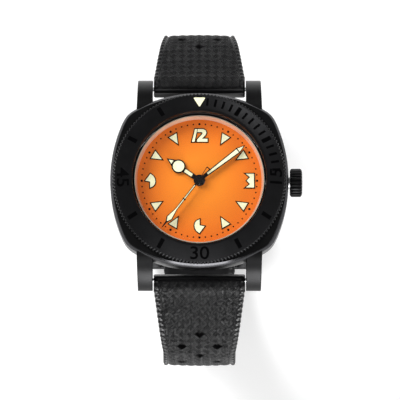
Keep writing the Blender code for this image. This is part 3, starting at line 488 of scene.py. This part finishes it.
def offset_outline(outline, distance):
    """The outline grown outward by distance, mitred, whichever way round it runs."""
    grown = []
    count = len(outline)
    area = sum(outline[k][0] * outline[(k + 1) % count][1] - outline[(k + 1) % count][0] * outline[k][1]
               for k in range(count))
    sign = 1.0 if area > 0 else -1.0
    for k in range(count):
        here = Vector(outline[k])
        before = (here - Vector(outline[k - 1])).normalized()
        after = (Vector(outline[(k + 1) % count]) - here).normalized()
        normal = Vector((before.y + after.y, -before.x - after.x)) * sign
        length = normal.length
        if length < 1e-6:
            grown.append(tuple(here))
            continue
        normal.normalize()
        spread = max(0.35, math.sqrt(max(0.0, (1 + before.dot(after)) / 2)))
        grown.append(tuple(here + normal * distance / spread))
    return grown


# ---------------------------------------------------------------- case

def reach_of_arc(angle, half, radius, along_y):
    """Distance from the watch's axis, at an angle, to a bowed side that passes through half."""
    setback = radius - half
    along = math.sin(angle) if along_y else math.cos(angle)
    inward = setback * abs(along)
    return math.sqrt(inward * inward + radius ** 2 - setback ** 2) - inward


def case_ring(inset, height, points=256):
    """The cushion outline, inset all round, at a height."""
    ring = []
    for k in range(points):
        angle = 2 * math.pi * k / points
        side = reach_of_arc(angle, CASE_HALF_X - inset, CASE_SIDE_R, False)
        end = reach_of_arc(angle, CASE_HALF_Y - inset, CASE_END_R, True)
        reach = (side ** -CORNER_POWER + end ** -CORNER_POWER) ** (-1 / CORNER_POWER)
        ring.append((reach * math.cos(angle), reach * math.sin(angle), height))
    return ring


def round_ring(radius, height, points=256):
    return [(radius * math.cos(2 * math.pi * k / points), radius * math.sin(2 * math.pi * k / points), height)
            for k in range(points)]


def make_case():
    sections = [
        round_ring(CASE_BORE_R, 1.3), case_ring(2.1, 1.3), case_ring(1.9, 1.35), case_ring(1.1, 1.8),
        case_ring(0.5, 2.5), case_ring(0.12, 3.4), case_ring(0.0, 4.4), case_ring(0.0, 7.2),
        case_ring(0.04, 7.9), case_ring(0.55, 8.72), case_ring(0.62, CASE_TOP),
        round_ring(CASE_BORE_R, CASE_TOP)]
    body = loft("case_body", sections, CASE_LOOK, capped=False, sharp=24)
    ready(body, "case", "black_steel", "case_middle")
    rim = loft("case_rim", [
        case_ring(0.03, 7.84), case_ring(-0.015, 7.9), case_ring(0.52, 8.745), case_ring(0.64, 8.83),
        case_ring(0.7, 8.7), case_ring(0.3, 7.84)], POLISHED_WITH_HIGHLIGHT, capped=False, sharp=24)
    ready(rim, "case", "black_steel")
    # Side outline of a lug in (Y, Z)
    outline = [(LUG_ROOT_Y, 2.0), (19.5, 1.1), (21.6, 0.66), (22.4, 0.75), (22.9, 1.2), (LUG_TIP_Y, 1.7),
               (22.9, 2.5), (22.2, 3.9), (21.2, 5.3), (20.0, 6.5), (18.8, 7.35), (17.6, 7.95),
               (16.2, 8.3), (LUG_ROOT_Y, 8.4)]
    for side_y, clock in ((1, "12"), (-1, "6")):
        for side_x, hand in ((-1, "left"), (1, "right")):
            near = []
            far = []
            for y, z in outline:
                outer = LUG_INNER + LUG_WIDTH
                outer += LUG_FLARE * (LUG_TIP_Y - y) / (LUG_TIP_Y - LUG_ROOT_Y)
                near.append((LUG_INNER * side_x, y * side_y, z))
                far.append((outer * side_x, y * side_y, z))
            lug = loft(f"lug_{clock}_{hand}", [near, far], CASE_LOOK, sharp=24)
            soften(lug, 0.16, 2)
            ready(lug, "case", "black_steel")


def make_back():
    outer = BACK_R
    profile = [(0.0, 0.02), (11.0, 0.02), (11.2, 0.12), (11.6, 0.12), (11.8, 0.0), (outer - 0.5, 0.0),
               (outer - 0.1, 0.15), (outer, 0.45), (outer, BACK_TOP - 0.05), (outer - 0.1, BACK_TOP),
               (0.0, BACK_TOP)]

    def notches(angle, k):
        if k not in (5, 6, 7):
            return 0.0
        step = math.pi / 3
        away = abs((angle + step / 2) % step - step / 2) * outer
        return -NOTCH_DEPTH * max(0.0, min(1.0, (NOTCH_HALF - away) / 0.25))

    ready(lathe("back_plate", profile, BACK_LOOK, 720, notches), "case", "black_steel", "case_back")


# ---------------------------------------------------------------- bezel and crystal

def cone_height(radius):
    share = (radius - BEZEL_LIP_R) / (BEZEL_FACE_R - BEZEL_LIP_R)
    return BEZEL_LIP_Z + (BEZEL_FACE_Z - BEZEL_LIP_Z) * share


def drape(obj, lift):
    """Lays a flat piece, modelled about height 0, on the sloping bezel face."""
    for vertex in obj.data.vertices:
        radius = math.hypot(vertex.co.x, vertex.co.y) / MM
        vertex.co.z += (cone_height(radius) + lift) * MM
    return obj


def make_bezel():
    profile = [
        (15.85, BEZEL_LOW), (18.1, BEZEL_LOW), (18.45, BEZEL_LOW + 0.2), (BEZEL_R, BEZEL_LOW + 0.45),
        (BEZEL_R, 10.05), (BEZEL_R - 0.12, 10.3), (BEZEL_FACE_R + 0.08, BEZEL_FACE_Z - 0.03),
        (BEZEL_FACE_R, BEZEL_FACE_Z), (BEZEL_LIP_R + 0.05, BEZEL_LIP_Z - 0.017),
        (BEZEL_LIP_R - 0.1, BEZEL_LIP_Z),
        (BEZEL_HOLE_R + 0.12, BEZEL_LIP_Z - 0.04), (BEZEL_HOLE_R, BEZEL_LIP_Z - 0.2), (BEZEL_HOLE_R, 10.1),
        (15.85, 10.1)]
    depths = {2: 0.5, 3: 1.0, 4: 1.0, 5: 0.7}

    def coin_edge(angle, k):
        if k not in depths:
            return 0.0
        phase = angle * COIN_TEETH / (2 * math.pi) % 1.0
        return -COIN_DEPTH * depths[k] * (0.5 - 0.5 * math.cos(2 * math.pi * phase)) ** 1.4

    ring = lathe("bezel_ring_body", profile, BEZEL_LOOK, COIN_TEETH * 8, coin_edge, sharp=40)
    ready(ring, "bezel_ring", "black_steel", "bezel")
    bars = []
    single = [*range(1, 15), 20, 25, 35, 40, 50, 55]
    for minute in single:
        wide = minute % 5 == 0
        half = 0.44 if wide else 0.24
        inset = 0.0 if wide else 0.18
        inner = MARK_INNER + inset
        outer = MARK_OUTER - inset
        outline = [(-half, inner), (half, inner), (half, outer), (-half, outer)]
        bar = prism(f"bar_{minute}", outline, -0.03, 0.0, INK)
        bars.append(turn(bar, -6.0 * minute))
    for minute in (15, 30, 45):
        digits = lettering(f"digits_{minute}", str(minute), 3.7, 0.03, 0.035, INK)
        digits.data.transform(Matrix.Diagonal((1.18, 1.0, 1.0, 1.0)))
        turn(digits, 180)
        shift(digits, 0.0, (MARK_INNER + MARK_OUTER) / 2)
        bars.append(turn(digits, -6.0 * minute))
    for bar in bars:
        drape(bar, INLAY)
    ready(merged("bezel_markings", bars, INK), "bezel_ring", "black_steel")
    base_half = 1.22
    tip = [(0.12, MARK_INNER - 0.05), (base_half, 17.35), (base_half - 0.15, 17.5), (-base_half + 0.15, 17.5),
           (-base_half, 17.35), (-0.12, MARK_INNER - 0.05)]
    triangle = drape(prism("bezel_pip", tip, -0.2, 0.0, GLOWING_LUME_LOOK), INLAY + 0.03)
    ready(triangle, "bezel_ring", "lume", "bezel_lume_triangle")
    surround = drape(prism("bezel_pip_rim", offset_outline(tip, 0.16), -0.2, 0.0, INK), INLAY)
    ready(surround, "bezel_ring", "black_steel")


def make_crystal():
    steps = 24
    rim = CRYSTAL_R - 0.3
    top = [(rim * k / steps, CRYSTAL_TOP - (CRYSTAL_TOP - CRYSTAL_EDGE) * (k / steps) ** 2)
           for k in range(steps + 1)]
    under_rim = CRYSTAL_R - 1.0
    under_top = CRYSTAL_TOP - GLASS_THICK
    under = [(under_rim * k / steps, under_top - (under_top - CRYSTAL_LOW) * (k / steps) ** 2)
             for k in range(steps, -1, -1)]
    profile = [*top, (CRYSTAL_R - 0.08, CRYSTAL_EDGE - 0.1), (CRYSTAL_R, CRYSTAL_EDGE - 0.3),
               (CRYSTAL_R, CRYSTAL_LOW), *under]
    ready(lathe("crystal_dome", profile, GLASS_LOOK, 160), "case", "crystal", "crystal")


# ---------------------------------------------------------------- dial

def make_dial():
    profile = [(0.0, 6.95), (DIAL_R, 6.95), (DIAL_R, DIAL_TOP - 0.05), (DIAL_R - 0.05, DIAL_TOP),
               (0.0, DIAL_TOP)]
    ready(lathe("dial_plate", profile, DIAL_LOOK), "case", "dial", "dial")
    flange = [(13.35, DIAL_TOP + 0.02), (13.9, DIAL_TOP + 0.02), (13.9, 9.28), (13.74, 9.28)]
    ready(lathe("dial_flange", flange, FLANGE_REFLECTION_LOOK), "case", "steel", "inner_flange_ring")

    lume = []
    ink = []

    def marker(name, outline, clock):
        top = prism(f"{name}_lume", outline, DIAL_TOP, DIAL_TOP + MARKER_RISE, GLOWING_LUME_LOOK)
        under = prism(f"{name}_ink", offset_outline(outline, BORDER), DIAL_TOP - 0.02,
                      DIAL_TOP + MARKER_RISE - 0.05, INK)
        lume.append(turn(top, -clock))
        ink.append(turn(under, -clock))

    triangle = [(0.0, 9.3), (0.9, 11.4), (-0.9, 11.4)]
    for hour in (1, 2, 4, 5, 7, 8, 10, 11):
        marker(f"hour_{hour}", triangle, 30 * hour)
    three = [(9.95, 1.5), (11.7, 1.5), (11.7, -1.5), (9.95, -1.5), (10.85, -0.75), (10.15, 0.0),
             (10.85, 0.75)]
    marker("hour_3", three, 0)
    blade = [(0.05, 1.5), (0.05, 0.2), (1.1, 0.0), (0.0, -1.5), (-0.6, -1.05), (-0.95, -0.45), (-1.05, 0.15),
             (-0.95, 0.7), (-0.6, 1.2)]
    marker("hour_6", [(x, y - 9.95) for x, y in blade], 0)
    marker("hour_9", [(-x - 10.5, -y) for x, y in blade], 0)
    one = [(-0.95, 11.25), (-0.45, 11.25), (-1.05, 8.5), (-1.6, 8.5)]
    two = [(-0.35, 11.25), (0.85, 11.25), (1.35, 10.95), (1.5, 10.45), (1.3, 9.95), (0.55, 9.15),
           (1.75, 9.15), (1.75, 8.5), (-0.55, 8.5), (-0.45, 9.0), (0.55, 10.1), (0.7, 10.4),
           (0.5, 10.6), (-0.45, 10.6)]
    marker("hour_12_one", one, 0)
    marker("hour_12_two", two, 0)
    for minute in range(60):
        size = 0.25 if minute % 5 == 0 else 0.16
        dot = [(size * math.cos(a * math.pi / 6), DOT_R + size * math.sin(a * math.pi / 6))
               for a in range(12)]
        ink.append(turn(prism(f"dot_{minute}", dot, DIAL_TOP - 0.02, DIAL_TOP + 0.03, INK), -6.0 * minute))
    ready(merged("dial_lume", lume, GLOWING_LUME_LOOK), "case", "lume")
    ready(merged("dial_print", ink, INK), "case", "dial")


# ---------------------------------------------------------------- hands

def hand(name, clock, low, frame_outlines, lume_outlines, body, node, boss):
    """A hand pointing to a clock angle: a black frame and boss, and lume set in it. boss is a radius."""
    frames = [prism(f"{name}_frame_{k}", outline, low, low + HAND_THICK, HAND_BLACK)
              for k, outline in enumerate(frame_outlines)]
    frames.append(lathe(f"{name}_boss", [(0.0, low - 0.02), (boss, low - 0.02), (boss, low + HAND_THICK),
                                         (boss - 0.12, low + 0.28), (0.0, low + 0.3)], HAND_BLACK, 48))
    lumes = [prism(f"{name}_fill_{k}", outline, low + 0.05, low + 0.235, GLOWING_LUME_LOOK)
             for k, outline in enumerate(lume_outlines)]
    black = turn(merged(f"{name}_black", frames, HAND_BLACK), -clock)
    fill = turn(merged(f"{name}_lume", lumes, GLOWING_LUME_LOOK), -clock)
    ready(black, body, "hands", node)
    ready(fill, body, "hands")


def circle(radius, y, points=40):
    return [(radius * math.cos(2 * math.pi * k / points), y + radius * math.sin(2 * math.pi * k / points))
            for k in range(points)]


def make_hands():
    disc_y = 5.4
    hour_frame = [
        [(-0.5, -0.3), (0.5, -0.3), (0.56, disc_y), (0.85, 6.6), (0.0, 8.5), (-0.85, 6.6), (-0.56, disc_y)],
        circle(1.5, disc_y)]
    hour_lume = [[(-0.33, 1.9), (0.33, 1.9), (0.36, 3.75), (-0.36, 3.75)], circle(1.22, disc_y),
                 [(-0.42, 7.0), (0.42, 7.0), (0.0, 7.95)]]
    hand("hand_hour", HOUR_ANGLE, HOUR_Z, hour_frame, hour_lume, "hours", "hour_hand", 1.25)
    minute_frame = [[(-0.38, -0.3), (0.38, -0.3), (0.42, 2.0), (0.62, 10.6), (0.0, 12.4), (-0.62, 10.6),
                     (-0.42, 2.0)]]
    minute_lume = [[(-0.2, 2.2), (0.2, 2.2), (0.42, 10.35), (-0.42, 10.35)],
                   [(-0.42, 10.6), (0.42, 10.6), (0.03, 11.9), (-0.03, 11.9)]]
    hand("hand_minute", MINUTE_ANGLE, MINUTE_Z, minute_frame, minute_lume, "minutes", "minute_hand", 1.15)
    second_frame = [
        [(-0.2, -0.5), (0.2, -0.5), (0.24, 8.2), (0.7, 10.6), (0.2, 11.6), (0.08, 13.0), (-0.08, 13.0),
         (-0.2, 11.6), (-0.7, 10.6), (-0.24, 8.2)],
        [(-0.36, 5.22), (0.36, 5.22), (0.36, 5.5), (-0.36, 5.5)],
        [(-0.12, -0.4), (-0.02, -0.4), (-0.3, -3.05), (0.3, -3.05), (0.02, -0.4), (0.12, -0.4), (0.44, -3.1),
         (0.36, -3.25), (-0.36, -3.25), (-0.44, -3.1)]]
    second_lume = [
        [(-0.07, 1.6), (0.07, 1.6), (0.085, 5.25), (-0.085, 5.25)],
        [(-0.085, 5.5), (0.085, 5.5), (0.1, 8.2), (0.5, 10.5), (0.1, 11.35), (-0.1, 11.35), (-0.5, 10.5),
         (-0.1, 8.2)]]
    hand("hand_second", SECOND_ANGLE, SECOND_Z, second_frame, second_lume, "seconds", "second_hand", 0.85)


# ---------------------------------------------------------------- crown

def make_crown():
    low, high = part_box("crown")
    length = (high[0] - low[0]) / MM
    radius = (high[1] - low[1]) / 2 / MM
    centre_z = (high[2] + low[2]) / 2 / MM
    start = low[0] / MM
    profile = [(1.7, 0.0), (radius - 0.45, 0.0), (radius - 0.12, 0.18), (radius, 0.4),
               (radius, length - 0.55), (radius - 0.14, length - 0.3), (radius - 0.5, length - 0.12),
               (radius - 0.75, length - 0.05),
               (0.0, length), (0.0, length - 1.0), (1.7, length - 1.0)]
    depths = {2: 0.6, 3: 1.0, 4: 1.0, 5: 0.7}

    def knurl(angle, k):
        if k not in depths:
            return 0.0
        phase = angle * CROWN_RIDGES / (2 * math.pi) % 1.0
        return -CROWN_RIDGE_DEPTH * depths[k] * min(1.0, max(0.0, 1.9 * abs(2 * phase - 1) - 0.6))

    crown = lathe("crown_knob", profile, CASE_LOOK, CROWN_RIDGES * 12, knurl, sharp=30)
    turn(crown, 90, "Y")
    shift(crown, start, 0.0, centre_z)
    ready(crown, "crown_and_stem", "black_steel", "crown")


# ---------------------------------------------------------------- strap

def loop_point(distance):
    """(y, z, slope) on the outer face of the loop, distance from its wide end at the lugs."""
    first_r = STRAP_UPPER / (TURN_SLOPE - LUG_SLOPE)
    bends = ((first_r, LUG_SLOPE, TURN_SLOPE), (UPPER_R, TURN_SLOPE, math.pi / 2),
             (LOWER_R, math.pi / 2, math.pi))
    y = BAR_Y - 1.9
    z = BAR_Z + STRAP_LUG_THICK / 2 + 0.9
    left = distance
    slope = LUG_SLOPE
    for radius, begin, end in bends:
        length = radius * (end - begin)
        used = max(0.0, min(left, length))
        slope = begin + used / radius
        y += radius * (math.sin(slope) - math.sin(begin))
        z += radius * (math.cos(slope) - math.cos(begin))
        left -= used
        if left <= 0:
            break
    return y + left * math.cos(slope), z - left * math.sin(slope), slope


BENDS = STRAP_UPPER + UPPER_R * (math.pi / 2 - TURN_SLOPE) + LOWER_R * math.pi / 2
FLAT_Y, FLAT_Z = loop_point(BENDS)[:2]
LOOP_Z = FLAT_Z + STRAP_THICK / 2
TANG_HOLE = BENDS + FLAT_Y + TANG_HOLE_Y


def strap_width(distance):
    share = min(1.0, max(0.0, (distance - TAPER_START) / TAPER_RUN))
    return STRAP_WIDTH + (STRAP_END_WIDTH - STRAP_WIDTH) * share


def strap_thickness(distance):
    share = min(1.0, max(0.0, distance / 16.0))
    return STRAP_LUG_THICK + (STRAP_THICK - STRAP_LUG_THICK) * share


def weave(x, d):
    """Basket weave of diagonal ribs, 0 to 1: each square's ribs cross its neighbours'."""
    u = (x + d) / WEAVE_PITCH
    v = (x - d) / WEAVE_PITCH
    flip = (np.floor(u) + np.floor(v)) % 2
    rib_u = np.abs(np.sin(math.pi * RIBS * u))
    rib_v = np.abs(np.sin(math.pi * RIBS * v))
    pillow = np.minimum(np.abs(np.sin(math.pi * u)), np.abs(np.sin(math.pi * v))) ** 0.5
    raised = np.where(flip > 0.5, 0.3, 0.0)
    return np.where(flip > 0.5, rib_u, rib_v) * (0.35 + 0.45 * pillow) + raised


def hole_rows(last):
    """(distance, paired) of each row of perforations up to a strap distance."""
    pitch = (TANG_HOLE - FIRST_ROW) / ROWS_TO_TANG
    rows = [(FIRST_ROW + pitch * k, k % 2 == 1) for k in range(ROWS_TO_TANG + 5)]
    return [row for row in rows if row[0] < last]


def hole_depth(x, d, rows):
    """1 inside a perforation, falling to 0 at its edge."""
    inside = np.zeros_like(x)
    for distance, paired in rows:
        if abs(distance - d) > 1.5:
            continue
        for centre in ((-SIDE_HOLE_X, SIDE_HOLE_X) if paired else (0.0,)):
            away = np.abs(x - centre) + abs(d - distance)
            inside = np.maximum(inside, np.clip((HOLE_HALF - away) / 0.16, 0.0, 1.0))
    return inside


def rim_notch(d):
    """1 in each notch along the strap's rims, 0 between."""
    away = abs((d / RIM_PITCH) % 1.0 - 0.5) * RIM_PITCH
    return min(1.0, max(0.0, (0.42 - away) / 0.2))


def relief(x, d, half, rows):
    """How far the outer face stands out, from the rims, the weave and the perforations."""
    edge = half - np.abs(x)
    crown = 0.25 * (1 - (x / half) ** 2)
    rim = np.clip((RIM_WIDTH - edge) / 0.15, 0, 1) * np.clip(edge / 0.3, 0, 1) ** 0.5
    groove = np.exp(-((edge - RIM_WIDTH - 0.15) / 0.16) ** 2)
    field = np.clip((edge - RIM_WIDTH - 0.25) / 0.15, 0, 1)
    height = crown + rim * (0.22 - 0.3 * rim_notch(d)) - 0.22 * groove
    height += WEAVE_RISE * field * (weave(x, d) - 0.6)
    return height - PIT_DEPTH * hole_depth(x, d, rows)


def end_drop(d):
    """How far the outer face has turned down at the lugs, less its swell over the spring bar."""
    short = max(0.0, END_ROUND_START - d)
    turned = END_ROUND - math.sqrt(max(0.0, END_ROUND ** 2 - min(short, END_ROUND) ** 2))
    return turned - END_SWELL * math.exp(-((d - END_ROUND_START - 0.2) / 1.7) ** 2)


def end_stations():
    """Strap distances round the turned-down end, evenly spaced along its arc."""
    count = 26
    return [END_ROUND_START - END_ROUND * math.cos(math.pi / 2 * k / count) for k in range(count)]


def strap_mesh(name, stations, width_at, place, rows):
    """Lofts one strap half. place(distance, x, down) gives the point down below the outer face."""
    across = 180
    edge_points = 5
    under_points = 12
    sections = []
    share = np.linspace(-1.0, 1.0, across)
    for d in stations:
        half = width_at(d) / 2 - 0.16 * rim_notch(d)
        thick = strap_thickness(d)
        drop = end_drop(d)
        x = share * half
        height = relief(x, d, half, rows)
        shoulder = 0.4 * np.clip((np.abs(x) - (half - 0.4)) / 0.4, 0, 1) ** 2
        ring = [place(d, a, drop - h + s) for a, h, s in zip(x, height, shoulder)]
        depth = thick - drop
        down = [drop + 0.5 + (depth - 0.75) * k / (edge_points - 1) for k in range(edge_points)]
        ring += [place(d, half, w) for w in down]
        ring += [place(d, half - 0.25 - (2 * half - 0.5) * k / (under_points - 1), thick)
                 for k in range(under_points)]
        ring += [place(d, -half, w) for w in reversed(down)]
        sections.append(ring)
    return loft(name, sections, RUBBER_LOOK, sharp=50)


def strap_place(side, outward):
    def place(distance, x, down):
        y, z, slope = loop_point(distance)
        inward = down - outward(distance)
        return (x, side * (y - inward * math.sin(slope)), z - inward * math.cos(slope))
    return place


def rounded_bar(name, radius, half, y, z, look, steps=48):
    """A bar along X with softened ends."""
    profile = [(0.0, -half), (radius - 0.25, -half), (radius, -half + 0.25), (radius, half - 0.25),
               (radius - 0.25, half), (0.0, half)]
    bar = lathe(name, profile, look, steps)
    turn(bar, 90, "Y")
    return shift(bar, 0.0, y, z)


def make_straps():
    end = BENDS + FLAT_Y - BUCKLE_Y - 0.6
    stations = [*end_stations(), *np.arange(END_ROUND_START, end, STATION_STEP), end]
    upper = strap_mesh("strap_upper_half", stations, strap_width, strap_place(1, lambda d: 0.0),
                       hole_rows(BENDS - 8.0))
    ready(upper, "strap_12", "rubber", "strap_buckle_side")
    wrap = rounded_bar("strap_buckle_wrap", STRAP_THICK / 2 + 0.25, STRAP_END_WIDTH / 2 - 0.1,
                       BUCKLE_Y, LOOP_Z, RUBBER_LOOK)
    ready(wrap, "strap_12", "rubber")
    half = STRAP_WIDTH / 2 - 0.1
    ready(rounded_bar("strap_end_12", END_BAR_R, half, BAR_Y, BAR_Z, RUBBER_LOOK), "strap_12", "rubber")
    ready(rounded_bar("strap_end_6", END_BAR_R, half, -BAR_Y, BAR_Z, RUBBER_LOOK), "case", "rubber")

    layer = STRAP_THICK + LAYER_GAP
    far = BENDS + 2 * FLAT_Y
    finish = far + TAIL_RUN

    def outward(distance):
        share = (distance - STRAP_FIRST) / (BENDS - STRAP_FIRST)
        return layer * min(1.0, max(0.0, share - 0.5) * 2)

    before = strap_place(-1, outward)

    def place(distance, x, down):
        if distance <= far:
            return before(distance, x, down)
        mirrored = 2 * (BENDS + FLAT_Y) - distance
        y, z, slope = loop_point(mirrored)
        inward = down - layer - TAIL_EXTRA_GAP
        return (x, y - inward * math.sin(slope), z - inward * math.cos(slope))

    def tail_width(distance):
        to_tip = max(0.0, (distance - (finish - TIP_RUN)) / TIP_RUN)
        return strap_width(distance) * math.sqrt(max(0.02, 1 - 0.93 * to_tip ** 2.4))

    stations = [*end_stations(), *np.arange(END_ROUND_START, finish, STATION_STEP), finish]
    tail = strap_mesh("strap_lower_half", stations, tail_width, place, hole_rows(finish - 9.0))
    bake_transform(tail)
    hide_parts("strap_tail")


def keeper(name, distance, node, body):
    """A moulded band round both strap layers, with softened edges and a raised rib at each."""
    y, z, slope = loop_point(distance)
    wall = KEEPER_WALL
    low_box, high_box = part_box(node)
    half = (high_box[0] - low_box[0]) / 2 / MM
    top = STRAP_THICK + KEEPER_GAP + wall
    bottom = -(STRAP_THICK + LAYER_GAP) - KEEPER_GAP - wall - KEEPER_GAP
    corner = 0.9

    def rounded(half_x, low, high, radius):
        points = []
        for cx, cy, begin in ((half_x - radius, high - radius, 0), (-half_x + radius, high - radius, 90),
                              (-half_x + radius, low + radius, 180), (half_x - radius, low + radius, 270)):
            for k in range(7):
                a = math.radians(begin + 15 * k)
                points.append((cx + radius * math.cos(a), cy + radius * math.sin(a)))
        return points

    across = Vector((0.0, math.sin(slope), math.cos(slope)))
    along = Vector((0.0, math.cos(slope), -math.sin(slope)))
    centre = Vector((0.0, y, z))
    width = KEEPER_HALF_WIDTH
    sections = []
    lip = [(-width, 0.35), (-width + 0.12, 0.1), (-width + 0.35, 0.0), (-width + 0.9, 0.0),
           (-width + 1.0, 0.12), (width - 1.0, 0.12), (width - 0.9, 0.0), (width - 0.35, 0.0),
           (width - 0.12, 0.1), (width, 0.35)]
    for run, inset in lip:
        ring = rounded(half - inset, bottom + inset, top - inset, corner)
        sections.append([centre + along * run - across * h + Vector((x, 0, 0)) for x, h in ring])
    for run in (width, -width):
        ring = rounded(half - wall, bottom + wall, top - wall, corner / 2)
        sections.append([centre + along * run - across * h + Vector((x, 0, 0)) for x, h in ring])
    ready(loft(name, sections, RUBBER_LOOK, capped=False, sharp=40), body, "rubber", node)


# ---------------------------------------------------------------- buckle

def slab(name, outline, x_low, x_high, look, bevel):
    """A (Y, Z) outline given thickness along X, with rounded edges."""
    points = [(x_low, y, z) for y, z in outline]
    other = [(x_high, y, z) for y, z in outline]
    obj = loft(name, [points, other], look)
    soften(obj, bevel, 3)
    return obj


def make_buckle():
    low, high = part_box("buckle_frame")
    outer = (high[0] - low[0]) / 2 / MM
    inner = STRAP_END_WIDTH / 2 + 0.5
    cross_z = FLAT_Z - STRAP_THICK - LAYER_GAP - 1.1
    outline = [(CROSSBAR_Y - 0.8, cross_z - 0.6), (CROSSBAR_Y + 1.0, cross_z - 0.85),
               (BUCKLE_Y + 1.4, LOOP_Z - 1.3), (BUCKLE_Y + 1.4, LOOP_Z + 1.3),
               (BUCKLE_Y - 1.2, LOOP_Z + 1.5), (CROSSBAR_Y - 0.8, cross_z + 0.8)]
    pieces = [slab("arm_left", outline, -outer, -inner, BUCKLE_LOOK, 0.4),
              slab("arm_right", outline, inner, outer, BUCKLE_LOOK, 0.4),
              rounded_bar("crossbar", CROSSBAR_R, outer, CROSSBAR_Y, cross_z, BUCKLE_LOOK)]
    ready(merged("buckle_loop", pieces, BUCKLE_LOOK), "buckle", "black_buckle", "buckle_frame")
    rest_z = cross_z - CROSSBAR_R - 0.1
    hole_y = TANG_HOLE_Y
    tip_y = CROSSBAR_Y - 1.0
    blade = [(BUCKLE_Y, LOOP_Z + 0.3), (hole_y - 0.35, LOOP_Z + 0.3), (hole_y - 0.35, rest_z + 1.2),
             (CROSSBAR_Y + 1.5, rest_z), (tip_y, rest_z), (tip_y, rest_z - 0.45),
             (CROSSBAR_Y + 1.2, rest_z - 0.6), (hole_y + 0.35, rest_z + 0.9),
             (hole_y + 0.35, LOOP_Z - 0.4), (BUCKLE_Y, LOOP_Z - 0.4)]
    parts = [slab("tang_blade", blade, -TANG_HALF, TANG_HALF, BUCKLE_LOOK, 0.16),
             rounded_bar("tang_eye", 1.3, 0.9, BUCKLE_Y, LOOP_Z, BUCKLE_LOOK)]
    ready(merged("buckle_prong", parts, BUCKLE_LOOK), "tang", "black_buckle", "buckle_tang")


# ---------------------------------------------------------------- carried-over CAD nodes

def dress_nodes():
    """The CAD nodes that stay in view take the look of their slot."""
    looks = {"steel": STEEL_LOOK, "brass": BRASS_LOOK, "seal": SEAL_LOOK, "black_steel": CASE_LOOK,
             "black_buckle": BUCKLE_LOOK, "rubber": RUBBER_LOOK, "hands": HAND_BLACK, "dial": DIAL_LOOK,
             "lume": GLOWING_LUME_LOOK, "crystal": GLASS_LOOK}
    for entry in frame["record"]["subparts"]:
        node = frame["nodes"][entry["node"]]
        look = looks[entry["material_slot"]]
        if not node.material_slots:
            node.data.materials.append(look)
        for place in node.material_slots:
            place.material = look


# ---------------------------------------------------------------- stage

def look_at(obj, target):
    obj.rotation_euler = (Vector(target) - obj.location).to_track_quat("-Z", "Y").to_euler()


def make_stage():
    elevation = math.radians(CAMERA_RISE)
    aim = Vector(CAMERA_AIM)
    camera_data = bpy.data.cameras.new("camera")
    camera_data.sensor_width = SENSOR
    camera_data.lens = SENSOR * CAMERA_DISTANCE / CAMERA_FIELD
    camera_data.clip_start = 0.05
    camera = bpy.data.objects.new("camera", camera_data)
    bpy.context.scene.collection.objects.link(camera)
    camera.location = aim + CAMERA_DISTANCE * Vector((0.0, -math.cos(elevation), math.sin(elevation)))
    look_at(camera, aim)
    bpy.context.scene.camera = camera

    floor_z = CAD_BOX[0][2] - 0.0004
    bpy.ops.mesh.primitive_plane_add(size=3.0, location=(0.0, 0.0, floor_z))
    floor = bpy.context.object
    floor.name = "floor"
    look = Look("floor_paper", (0.75, 0.75, 0.75), 0.9, Specular_IOR_Level=0.0)
    look.shader.inputs["Emission Color"].default_value = (1.0, 1.0, 1.0, 1.0)
    look.shader.inputs["Emission Strength"].default_value = 0.34
    floor.data.materials.append(look.material)

    # Bearing clockwise from twelve, elevation, distance, width and power of each soft light
    lights = (("key", 305, 38, 0.9, 0.5, 9.5), ("sheen", 28, 42, 0.9, 0.22, 1.3),
              ("side", 110, 28, 0.9, 0.5, 1.6), ("front", 185, 58, 1.0, 0.5, 1.6),
              ("low_front", 180, 10, 0.9, 0.5, 8.0))
    for name, bearing, rise, away, size, power in lights:
        lamp = bpy.data.lights.new(name, "AREA")
        lamp.size = size
        lamp.energy = power
        obj = bpy.data.objects.new(name, lamp)
        bpy.context.scene.collection.objects.link(obj)
        low = math.cos(math.radians(rise)) * away
        x, y = polar(low, bearing)
        obj.location = (x, y, math.sin(math.radians(rise)) * away)
        obj.visible_glossy = name != "key"
        look_at(obj, (0.0, 0.0, 0.0))
    world = bpy.data.worlds.new("studio")
    world.use_nodes = True
    world.node_tree.nodes["Background"].inputs["Color"].default_value = (1.0, 1.0, 1.0, 1.0)
    world.node_tree.nodes["Background"].inputs["Strength"].default_value = 0.22
    bpy.context.scene.world = world
    bpy.context.scene.view_settings.view_transform = "Standard"


dress_nodes()
make_case()
make_back()
make_bezel()
make_crystal()
make_dial()
make_hands()
make_crown()
make_straps()
keeper("strap_keeper_fixed", BENDS + FLAT_Y - BUCKLE_Y - FIXED_KEEPER_RUN, "keeper_fixed", "strap_12")
keeper("strap_keeper_loose", BENDS + FLAT_Y - BUCKLE_Y - LOOSE_KEEPER_RUN, "keeper_free",
       "loose_keeper")
make_buckle()
make_stage()
